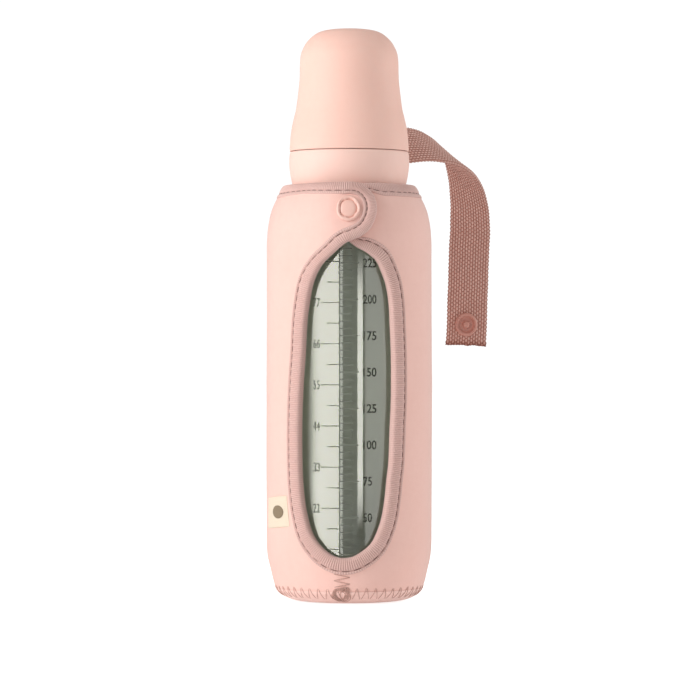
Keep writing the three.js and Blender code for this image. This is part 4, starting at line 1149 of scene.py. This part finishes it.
def strap_mesh(name, s0, s1, mat, cut0=False, cut1=False):
    n_s = int((s1 - s0) / 0.155)
    n_x = 112
    ss = np.linspace(s0, s1, n_s + 1)
    u = np.linspace(-1, 1, n_x + 1)
    half = STRAP_W / 2
    rows_t, rows_b, hi_t, hi_b, fab_t, fab_b = [], [], [], [], [], []
    # ends finer at the selvedges
    xs = half * np.sign(u) * (np.abs(u) ** 0.92)
    SS, XX = np.meshgrid(ss, xs, indexing="ij")
    edge = np.clip((np.abs(XX) / half - 0.965) / 0.035, 0, 1)
    thick = STRAP_T / 2 * np.sqrt(np.clip(1 - edge ** 2 * 0.95, 0, 1))
    scal = 0.12 * np.cos(math.pi * SS / ROW) * smoothstep(np.abs(XX) / half, 0.85, 1.0)
    frayed = np.zeros_like(SS)
    if cut1:
        frayed = smoothstep(SS, s1 - 2.2, s1)
    jag = 0.0
    X2 = XX + np.sign(XX) * scal + 0.10 * wobble(SS, XX * 0, 14, 61)
    if cut1:
        X2 = (X2 + 0.25 * smoothstep(SS, 40, 80)) * (1 - 0.035 * smoothstep(SS, 40, 80)) * (1 + 0.03 * frayed)
    S2 = SS + 0.07 * wobble(XX, SS * 0.2, 3.1, 62)
    if cut1:
        S2 = S2 + frayed * (0.16 * wobble(XX, XX * 0, 4.0, 63) + 0.05 * np.sin(XX * 5.9) + 0.25 * (XX / 7.75) ** 2)
    wavy = 0.05 * wobble(SS, XX, 9, 64)
    ht, wt = weave(SS, XX)
    hb, wb = weave(SS + ROW, XX)
    amp = 0.26 * (1 - edge) * (1 - 0.4 * frayed)
    top = strap_point(S2, X2, wavy + thick - 0.20 * (1 - edge) + amp * ht)
    bot = strap_point(S2, X2, wavy - thick + 0.20 * (1 - edge) - amp * hb)
    n, m = top.shape[:2]
    verts = np.concatenate([top.reshape(-1, 3), bot.reshape(-1, 3)])
    nn = n * m
    f = [tuple(q) for q in grid_faces(n, m)] + [tuple(int(i) + nn for i in q[::-1]) for q in grid_faces(n, m)]
    loop = [i * m for i in range(n)] + [(n - 1) * m + j for j in range(1, m)] + [i * m + m - 1 for i in range(n - 2, -1, -1)] + [j for j in range(m - 2, 0, -1)]
    for i in range(len(loop)):
        a, b = loop[i], loop[(i + 1) % len(loop)]
        f.append((a, b, b + nn, a + nn))
    # colour value for the weave: painted highlight on the warp floats and weft crests, painted shade in the gaps
    # between them, and darker towards the cut end
    col_t = np.clip(0.30 + 0.70 * wt + 0.18 * (ht - wt) - 0.3 * frayed, 0, 1)
    col_b = np.clip(0.30 + 0.70 * wb + 0.18 * (hb - wb) - 0.5 * frayed, 0, 1)
    fab = np.stack([XX, SS, 0 * SS], -1).reshape(-1, 3)
    o = new_mesh(name, verts, f, mat, attrs={
        "fab": ("FLOAT_VECTOR", np.vstack([fab, fab + np.array([0, 0, 9.0])])),
        "rib": ("FLOAT", np.r_[col_t.ravel(), col_b.ravel()])})
    fix_normals(o)
    return o, np.r_[SS.ravel(), SS.ravel()]


S_ROOT = S_NECK - (T_TOP - 117.0)
S_MEET = -8.0
back_strap, sv = strap_mesh("strap_back", S_ROOT, S_MEET, M_WEB)
set_blend(back_strap, smoothstep(sv, -44.5, -38.5))
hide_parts("strap_root")
front_strap, sv = strap_mesh("strap_front", S_MEET, 103.3, M_WEB, cut1=True)
set_blend(front_strap, smoothstep(sv, 57, 69))
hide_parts("strap_arch", "strap_drop")

# box of stitching that holds the strap to the sleeve
parts = []
x_in, t_lo, t_hi = 6.0, 118.6, 125.4
corners = [(-x_in, t_lo), (x_in, t_lo), (x_in, t_hi), (-x_in, t_hi), (-x_in, t_lo), (x_in, t_hi)]
corners2 = [(x_in, t_lo), (-x_in, t_hi)]
for run in (corners, corners2):
    for (x0, a0), (x1, a1) in zip(run[:-1], run[1:]):
        L = math.hypot(x1 - x0, a1 - a0)
        n = max(1, int(round(L / 2.0)))
        for i in range(n):
            k = np.linspace((i + 0.06) / n, (i + 0.94) / n, 7)
            xx, tt = x0 + (x1 - x0) * k, a0 + (a1 - a0) * k
            h = np.array([-0.15, 0.12, 0.2, 0.22, 0.2, 0.12, -0.15]) + STRAP_OFF + STRAP_T - 0.02
            pts = surf(ROOT_DEG - xx / (29.7 * RAD), tt, h)
            parts.append(tube(pts, np.array([0.1, 0.15, 0.17, 0.17, 0.17, 0.15, 0.1]), sides=6))
v, f, b = merge(parts)
box = new_mesh("strap_box_stitch", v, f, M_STITCH, attrs={"fab": ("FLOAT_VECTOR", b)})
fix_normals(box)
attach(box, "sleeve")
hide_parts("strap_root_stitch")

root_t = float(t_of(133.0))


def root_place(x, y, h):
    m = 29.5 * RAD
    return surf(ROOT_DEG - np.asarray(x) / m, root_t + np.asarray(y), STRAP_OFF + STRAP_T + np.asarray(h))


rs = turned_on("root_snap", [tuple(p) for p in catmull([(1.35, 0.0), (1.4, 0.9), (1.6, 1.2), (2.2, 1.28), (2.9, 1.16), (3.5, 0.98), (4.0, 0.66), (4.22, 0.35), (4.2, 0.0), (2.6, -0.1)], 3, closed=True)], 64, root_place, M_SNAP2)
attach(rs, "sleeve")
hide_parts("root_snap_socket")

SNAP_S, SNAP_X = 95.9, 0.4


def strap_front(x, y, h):
    return ribbon(SNAP_S - np.asarray(y), SNAP_X + np.asarray(x), -STRAP_T / 2 - np.asarray(h))


def strap_rear(x, y, h):
    return ribbon(SNAP_S + np.asarray(y), SNAP_X + np.asarray(x), STRAP_T / 2 + np.asarray(h))


ss1 = turned_on("strap_snap_front", [(0, -0.1), (3.9, -0.1)] + [tuple(p) for p in catmull([(4.16, 0.05), (4.22, 0.5), (4.08, 1.02), (3.7, 1.38), (3.25, 1.32), (2.95, 0.92), (2.7, 0.4), (2.35, 0.2), (1.75, 0.18), (1.42, 0.3), (1.3, 0.8), (1.18, 1.3), (0.85, 1.66), (0.3, 1.78)], 3)] + [(0, 1.79)], 64, strap_front, M_SNAP2)
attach(ss1, "strap_lower")
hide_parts("strap_snap_stud")
ss2 = turned_on("strap_snap_back", [(0, -0.1), (3.95, -0.1)] + [tuple(p) for p in catmull([(4.14, 0.08), (4.16, 0.38), (3.95, 0.68), (3.4, 0.88), (2.5, 1.04), (1.4, 1.12)], 4)] + [(0, 1.15)], 64, strap_rear, M_SNAP2)
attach(ss2, "strap_lower")
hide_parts("strap_snap_cap")


# ------------------------------------------------------------------ bottle, teat, collar, cap
def offset_wall(off, z0, z1, n=40):
    t = np.linspace(float(t_of(z0)), float(t_of(z1)), n)
    r, z, nr, nz = prof(t)
    return [(a + na * off, b + nb * off) for a, b, na, nb in zip(r, z, nr, nz)]


def rounded(points, radius=0.3, steps=4, angle=22.0):
    """closed outline with its sharp corners rounded"""
    P = [np.array(p, float) for p in points]
    n = len(P)
    out = []
    for i in range(n):
        a, p, b = P[i - 1], P[i], P[(i + 1) % n]
        u, v = a - p, b - p
        lu, lv = np.linalg.norm(u), np.linalg.norm(v)
        if p[0] < 1e-6 or lu < 1e-6 or lv < 1e-6:
            out.append(p)
            continue
        turn = 180 - math.degrees(math.acos(np.clip(u @ v / lu / lv, -1, 1)))
        if turn < angle:
            out.append(p)
            continue
        d = min(radius, lu * 0.45, lv * 0.45)
        A, B = p + u / lu * d, p + v / lv * d
        for k in np.linspace(0, 1, steps + 1):
            out.append((1 - k) ** 2 * A + 2 * k * (1 - k) * p + k * k * B)
    return [tuple(q) for q in out]


body_out = [tuple(p) for p in catmull([(0.0, 5.0), (8.0, 4.95), (14.5, 4.6), (16.8, 3.75), (18.4, 3.32), (20.6, 3.5), (22.6, 4.85), (24.0, 6.9)], 5)]
wall = offset_wall(-2.95, 9.2, 148.6, 90)
shoulder = [tuple(p) for p in catmull([wall[-1], (18.5, 148.05), (17.7, 148.3), (17.25, 149.0), (17.2, 149.8)], 4)][1:]
glass_out = body_out + wall + shoulder + [(17.2, 158.0), (17.05, 158.35), (16.7, 158.5)]
neck_in = [(14.9, 158.5), (14.5, 158.3), (14.4, 157.9)] + [tuple(p) for p in catmull([(14.4, 151.5), (14.7, 149.9), (15.5, 148.4), (17.2, 147.1)], 4)]
wall_in = offset_wall(-4.72, 22, 146.2, 70)[::-1]
floor_in = [tuple(p) for p in catmull([wall_in[-1], (24.85, 18.0), (24.45, 14.0), (23.9, 11.4), (22.6, 9.2), (20.4, 7.75), (17.5, 7.15), (9, 6.8), (0.0, 6.7)], 5)][1:]
glass_pts = glass_out + neck_in + wall_in + floor_in
bottle = rev("glass_body", glass_pts, 192, M_GLASS)
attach(bottle, "bottle")
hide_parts("glass_bottle")


def helix(name, inner, outer, z0, turns, half_root, half_crest, mat, seg=96):
    n = int(turns * seg)
    rows = []
    for i in range(n + 1):
        a = i / n * turns * 2 * math.pi
        z = z0 + 5.0 * a / (2 * math.pi)
        fade = min(1.0, min(i, n - i) / (seg * 0.14) + 0.12)
        fade = fade * fade * (3 - 2 * fade) if fade < 1 else 1.0
        crest = inner + (outer - inner) * fade
        prof2 = []
        for k in np.linspace(-1, 1, 9):
            w = half_root if abs(k) == 1 else None
            hh = half_root * k
            rr = inner + (crest - inner) * (1 - smoothstep(abs(k), half_crest / half_root, 1.0))
            prof2.append((rr, hh))
        rows.append([(r * math.sin(a), -r * math.cos(a), z + h) for r, h in prof2])
    v = np.array(rows)
    n_, m_ = v.shape[:2]
    f = [tuple(q) for q in grid_faces(n_, m_, wrap_m=True)] + [tuple(range(m_))[::-1], tuple(range((n_ - 1) * m_, n_ * m_))]
    o = new_mesh(name, v.reshape(-1, 3), f, mat)
    fix_normals(o)
    return o


gt_ = helix("glass_neck_thread", 17.0, 18.45, 150.3, 1.25, 1.0, 0.45, M_GLASS)
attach(gt_, "bottle")

teat_out = [(18.3, 158.8), (18.5, 159.0), (18.5, 159.95), (18.3, 160.15), (14.4, 160.2), (13.85, 160.45), (13.7, 160.8), (13.7, 162.2), (13.95, 162.55)] + [tuple(p) for p in catmull([(15.0, 162.85), (15.25, 163.3), (14.95, 164.8), (13.4, 169.0), (10.5, 173.7), (8.7, 177.4), (8.2, 180.5), (8.7, 183.8), (9.85, 187.6), (10.15, 190.8), (9.0, 194.3), (6.2, 196.9), (2.6, 198.0), (0.9, 198.12)], 7)]
teat_in = [tuple(p) for p in catmull([(0.5, 197.8), (0.5, 196.8), (3.4, 196.3), (6.8, 194.1), (8.35, 190.7), (7.2, 184.7), (6.6, 179.6), (8.5, 173.7), (11.7, 168.4), (12.1, 165.5), (12.1, 159.2), (12.3, 158.8)], 6)]
teat = rev("silicone_teat", teat_out + teat_in, 128, M_TEAT)
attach(teat, "teat")
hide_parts("nipple")

collar_pts = [tuple(p) for p in catmull([(20.2, 149.0), (20.42, 149.35), (20.55, 149.9), (21.0, 152.0), (21.42, 154.6), (21.6, 157.0), (21.55, 159.3), (21.34, 160.8), (21.15, 161.15)], 6)] + [
    (19.65, 161.2), (19.55, 161.4), (19.55, 164.8), (19.35, 165.15), (17.95, 165.2), (17.65, 165.0), (17.6, 162.5), (17.5, 162.4), (14.35, 162.4), (14.2, 162.25), (14.2, 160.65), (14.35, 160.5),
    (19.0, 160.5), (19.2, 160.3), (19.2, 149.4), (19.35, 149.05), (19.6, 148.95)]
col = rev("collar", rounded(collar_pts, 0.22, 3, 30), 192, M_COLLAR)
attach(col, "collar")
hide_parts("collar_ring")


def inner_helix(name, wall_r, crest_r, z0, turns, mat, seg=96):
    n = int(turns * seg)
    rows = []
    for i in range(n + 1):
        a = i / n * turns * 2 * math.pi
        z = z0 + 5.0 * a / (2 * math.pi)
        fade = min(1.0, min(i, n - i) / (seg * 0.12) + 0.1)
        crest = wall_r + (crest_r - wall_r) * fade
        row = []
        for k in np.linspace(-1, 1, 9):
            rr = wall_r + (crest - wall_r) * (1 - smoothstep(abs(k), 0.45, 1.0))
            row.append((rr * math.sin(a), -rr * math.cos(a), z + k * 1.0))
        rows.append(row)
    v = np.array(rows)
    n_, m_ = v.shape[:2]
    f = [tuple(q) for q in grid_faces(n_, m_, wrap_m=True)] + [tuple(range(m_))[::-1], tuple(range((n_ - 1) * m_, n_ * m_))]
    o = new_mesh(name, v.reshape(-1, 3), f, mat)
    fix_normals(o)
    return o


ct = inner_helix("collar_thread", 19.4, 17.98, 152.8, 1.0, M_COLLAR)
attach(ct, "collar")

CAP = [(21.38, 161.5), (21.4, 162.7), (21.1, 167.0), (20.7, 169.9), (20.2, 172.3), (19.75, 174.2), (19.3, 175.9), (18.85, 178.7), (18.5, 181.5), (18.15, 184.4), (17.88, 187.4), (17.78, 190.2), (17.74, 193.0), (17.5, 195.8), (17.05, 197.5), (16.4, 198.9), (15.6, 200.3), (14.4, 201.75), (13.0, 203.0), (11.6, 203.95), (9.6, 204.7), (7.0, 205.15), (4.0, 205.35), (0.0, 205.4)]
cap_out = catmull(CAP, 6)
dd = np.gradient(cap_out, axis=0)
dd /= np.linalg.norm(dd, axis=1)[:, None]
cap_in = np.stack([np.maximum(0, cap_out[:, 0] - dd[:, 1] * 1.6), cap_out[:, 1] + dd[:, 0] * 1.6], -1)
cap_in[-1] = (0, 205.4 - 1.6)
keep = (cap_in[:, 1] > 171.5)
cap_pts = [tuple(p) for p in cap_out] + [tuple(p) for p in cap_in[keep][::-1][::2]] + [(19.2, 168.6), (19.85, 166.4), (19.85, 161.7), (20.0, 161.5), (21.2, 161.42)]
cap = rev("cap", cap_pts, 192, M_CAP, on_axis=(True, True))
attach(cap, "cap")
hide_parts("dome_cap")


# ------------------------------------------------------------------ printed scale
R_PRINT = 26.75
parts = []


def printed(x0, x1, z0, z1, h0=0.02, h1=0.12):
    """flat bar of ink between two angles (degrees) and two heights"""
    n = max(2, int(abs(x1 - x0) / 0.7) + 1)
    d = np.linspace(x0, x1, n + 1)
    V = []
    for dg in d:
        for r, z in ((R_PRINT + h0, z0), (R_PRINT + h1, z0), (R_PRINT + h1, z1), (R_PRINT + h0, z1)):
            V.append((r * math.sin(dg * RAD), -r * math.cos(dg * RAD), z))
    f = [tuple(q) for q in grid_faces(n + 1, 4, wrap_m=True)] + [(0, 1, 2, 3), tuple(n * 4 + i for i in (3, 2, 1, 0))]
    parts.append((np.array(V), f, np.zeros((len(V), 3))))


def z_ml(v):
    return 5.2 + 0.5133 * v


def z_oz(v):
    return 5.2 + 14.5 * v


def digits(text, deg0, deg1, z, height, bold=0.022):
    """numerals fitted between two angles, wrapped on the glass"""
    cu = bpy.data.curves.new("t", "FONT")
    cu.body = text
    cu.offset = bold
    cu.size = 1.0
    cu.extrude = 0.0
    cu.resolution_u = 4
    ob = bpy.data.objects.new("t", cu)
    bpy.context.scene.collection.objects.link(ob)
    dg = bpy.context.evaluated_depsgraph_get()
    me = bpy.data.meshes.new_from_object(ob.evaluated_get(dg))
    bpy.data.objects.remove(ob)
    import bmesh
    b = bmesh.new()
    b.from_mesh(me)
    bmesh.ops.remove_doubles(b, verts=b.verts, dist=1e-5)
    bmesh.ops.triangulate(b, faces=b.faces)
    co = np.array([v.co for v in b.verts])
    x0, x1 = co[:, 0].min(), co[:, 0].max()
    y0, y1 = co[:, 1].min(), co[:, 1].max()
    g = bmesh.ops.extrude_face_region(b, geom=list(b.faces))
    up = [e for e in g["geom"] if isinstance(e, bmesh.types.BMVert)]
    for v in up:
        v.co.z = 1.0
    bmesh.ops.recalc_face_normals(b, faces=b.faces)
    co = np.array([v.co for v in b.verts])
    b.verts.ensure_lookup_table()
    dgv = deg0 + (co[:, 0] - x0) / (x1 - x0) * (deg1 - deg0)
    zz = z - height / 2 + (co[:, 1] - y0) / (y1 - y0) * height
    r = R_PRINT + 0.02 + 0.10 * np.clip(co[:, 2], 0, 1)
    V = np.stack([r * np.sin(dgv * RAD), -r * np.cos(dgv * RAD), zz], -1)
    f = [tuple(v.index for v in q.verts) for q in b.faces]
    b.free()
    bpy.data.meshes.remove(me)
    parts.append((V, f, np.zeros((len(V), 3))))


for v in range(25, 236, 25):
    digits(str(v), 10.6, 10.6 + (21.0 - 10.6) * (0.66 if v < 100 else 1.0), z_ml(v), 3.2, 0.014)
v, f, b = merge(parts)
ink = new_mesh("printed_numerals", v, f, M_PRINT, smooth=False)
fix_normals(ink)
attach(ink, "bottle")

parts = []
LINE = 0.34
printed(-7.85, -6.85, z_ml(22), z_ml(238))
for v in range(25, 236, 5):
    z = z_ml(v)
    if v % 25 == 0:
        printed(-6.85, 7.4, z - LINE / 2, z + LINE / 2)
    else:
        printed(-6.85, 2.1, z - LINE / 2.4, z + LINE / 2.4)
o_ = 1.0
while o_ <= 8.01:
    z = z_oz(o_)
    if abs(o_ - round(o_)) < 0.01:
        printed(-21.9, -7.85, z - LINE / 2, z + LINE / 2)
    else:
        printed(-17.0, -7.85, z - LINE / 2, z + LINE / 2)
    o_ += 0.5
for n in range(1, 9):
    digits(str(n), -28.2, -25.7, z_oz(n), 3.2, 0.0)
    digits(str(n), -25.2, -22.7, z_oz(n), 3.2, 0.0)
v, f, b = merge(parts)
ink2 = new_mesh("printed_scale", v, f, M_TICK, smooth=False)
fix_normals(ink2)
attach(ink2, "bottle")


# ------------------------------------------------------------------ stage, light, camera
def floor_material():
    m = Nodes("floor")
    p = m.n("ShaderNodeBsdfPrincipled")
    tc = m.n("ShaderNodeTexCoord")
    nz = m.noise(tc.outputs["Object"], 30.0, 3.0, 0.5)
    m.l(m.mix(m.math("MULTIPLY", nz, 0.2), (0.80, 0.80, 0.80), (0.78, 0.78, 0.78)), p.inputs["Base Color"])
    m.val(p, "Roughness", 0.9)
    m.val(p, "Specular IOR Level", 0.1)
    glow = m.n("ShaderNodeEmission")
    lp = m.n("ShaderNodeLightPath")
    seen_by = m.math("ADD", m.math("MULTIPLY", lp.outputs["Is Camera Ray"], 0.72), m.math("MULTIPLY", lp.outputs["Is Diffuse Ray"], 0.24))
    m.l(seen_by, glow.inputs["Strength"])
    add = m.n("ShaderNodeAddShader")
    m.l(p.outputs[0], add.inputs[0])
    m.l(glow.outputs[0], add.inputs[1])
    m.l(add.outputs[0], m.out.inputs[0])
    return m.mat


def plane(name, size, loc, mat):
    s = size / 2
    me = bpy.data.meshes.new(name)
    me.from_pydata([(-s, -s, 0), (s, -s, 0), (s, s, 0), (-s, s, 0)], [], [(0, 1, 2, 3)])
    me.materials.append(mat)
    o = bpy.data.objects.new(name, me)
    o.location = loc
    bpy.context.scene.collection.objects.link(o)
    return o


floor = plane("floor", 12.0, (0, 0, -0.0002), floor_material())
floor.visible_glossy = False


def area(name, loc, target, size, power, color=(1, 1, 1), spread=180, size_y=None):
    l = bpy.data.lights.new(name, "AREA")
    l.shape = "RECTANGLE" if size_y else "SQUARE"
    l.size = size
    if size_y:
        l.size_y = size_y
    l.energy = power
    l.color = color
    l.spread = spread * RAD
    o = bpy.data.objects.new(name, l)
    o.location = loc
    o.rotation_mode = "QUATERNION"
    o.rotation_quaternion = (Vector(target) - Vector(loc)).to_track_quat("-Z", "Y")
    bpy.context.scene.collection.objects.link(o)
    return o


world = bpy.data.worlds.new("world")
bpy.context.scene.world = world
world.use_nodes = True
wt = world.node_tree
bg = wt.nodes["Background"]
bg.inputs[0].default_value = (1, 0.985, 0.97, 1)
bg.inputs[1].default_value = 0.46
white = wt.nodes.new("ShaderNodeBackground")
white.inputs[0].default_value = (1, 1, 1, 1)
white.inputs[1].default_value = 1.05
lpw = wt.nodes.new("ShaderNodeLightPath")
mixw = wt.nodes.new("ShaderNodeMixShader")
wt.links.new(lpw.outputs["Is Camera Ray"], mixw.inputs[0])
wt.links.new(bg.outputs[0], mixw.inputs[1])
wt.links.new(white.outputs[0], mixw.inputs[2])
wt.links.new(mixw.outputs[0], wt.nodes["World Output"].inputs[0])
key = area("key", (-1.04, -0.62, 0.50), (0, 0, 0.10), 0.55, 12.2, size_y=0.9)
rim = area("rim", (1.15, 0.12, 0.35), (0, 0, 0.10), 0.5, 5.2, size_y=0.9)

# soft boxes that only the glass mirrors
only_glass = bpy.data.collections.new("mirrored_in_glass")
for o in (bottle, gt_):
    only_glass.objects.link(o)

# the main light's own outline isn't mirrored in the glass
not_glass = bpy.data.collections.new("lit_by_key")
for o in (bottle, gt_):
    not_glass.objects.link(o)
for item in not_glass.collection_objects:
    item.light_linking.link_state = "EXCLUDE"
key.light_linking.receiver_collection = not_glass


def card(name, az0, az1, z0, z1, strength, soft0=0.0, soft1=0.0, dist=0.5, softz=0.0, color=(1, 0.995, 0.94)):
    """upright curved light at distance dist; azimuth 0 is towards the camera, positive to its right"""
    n, m_ = 24, 12
    A, Zc = np.meshgrid(np.linspace(az0, az1, n), np.linspace(z0, z1, m_), indexing="ij")
    V = np.stack([dist * np.sin(A * RAD), -dist * np.cos(A * RAD), Zc], -1).reshape(-1, 3) / MM
    mat = Nodes(name)
    at = mat.n("ShaderNodeAttribute", attribute_name="glow")
    e = mat.n("ShaderNodeEmission")
    e.inputs[0].default_value = (*color, 1)
    # lit only along the lines that reach it by way of the glass from the front
    aim = mat.n("ShaderNodeAttribute", attribute_name="aim")
    geo = mat.n("ShaderNodeNewGeometry")
    at_, to_ = mat.n("ShaderNodeSeparateXYZ"), mat.n("ShaderNodeSeparateXYZ")
    mat.l(geo.outputs["Position"], at_.inputs[0])
    mat.l(geo.outputs["Incoming"], to_.inputs[0])
    cross = mat.math("SUBTRACT", mat.math("MULTIPLY", at_.outputs[0], to_.outputs[1]), mat.math("MULTIPLY", at_.outputs[1], to_.outputs[0]))
    miss = mat.math("ABSOLUTE", mat.math("SUBTRACT", cross, aim.outputs["Fac"]), 0.0)
    lit = mat.math("MULTIPLY", mat.math("SUBTRACT", 0.0095, miss), 200.0, True)
    mat.l(mat.math("MULTIPLY", mat.math("MULTIPLY", at.outputs["Fac"], strength), lit), e.inputs[1])
    mat.l(e.outputs[0], mat.out.inputs[0])
    k = np.ones_like(A)
    if soft0:
        k = k * smoothstep(A, az0, az0 + soft0)
    if soft1:
        k = k * (1 - smoothstep(A, az1 - soft1, az1))
    if softz:
        k = k * smoothstep(Zc, z0, z0 + softz) * (1 - smoothstep(Zc, z1 - softz, z1))
    o = new_mesh(name, V, grid_faces(n, m_), mat.mat, attrs={"glow": ("FLOAT", k.ravel()), "aim": ("FLOAT", (-0.0264 * np.sin(A * RAD / 2)).ravel())})
    o.visible_camera = False
    o.visible_diffuse = False
    o.visible_transmission = False
    o.visible_shadow = False
    o.visible_volume_scatter = False
    o.visible_glossy = True
    o.light_linking.receiver_collection = only_glass
    return o


card("mirror_left", -69, -15.2, -0.20, 0.40, 14.6, soft0=24, color=(1, 0.985, 0.885))
card("mirror_slit", -14.4, -9.2, -0.20, 0.40, 6.5, soft1=1.0)
card("mirror_right", 11.6, 21.0, 0.002, 0.138, 13.4, soft0=1.5, soft1=1.2, softz=0.022, color=(1, 0.985, 0.90))
card("mirror_side", 22, 95, -0.20, 0.40, 4.0, soft0=3, soft1=20)

sc = bpy.context.scene
sc.view_settings.view_transform = "Standard"
sc.view_settings.look = "None"
sc.view_settings.exposure = 0.0
sc.view_settings.gamma = 1.0
cam = bpy.data.cameras.new("camera")
cam.sensor_width = 36.0
cam.sensor_fit = "HORIZONTAL"
# the picture plane through the axis is 252 mm wide
cam.lens = 36.0 * 1228.0 / 252.0
cam.clip_start, cam.clip_end = 0.05, 20
co = bpy.data.objects.new("camera", cam)
co.location = (0.00029, -1.228, 0.090)
co.rotation_euler = (math.pi / 2, 0, 0)
sc.collection.objects.link(co)
sc.camera = co
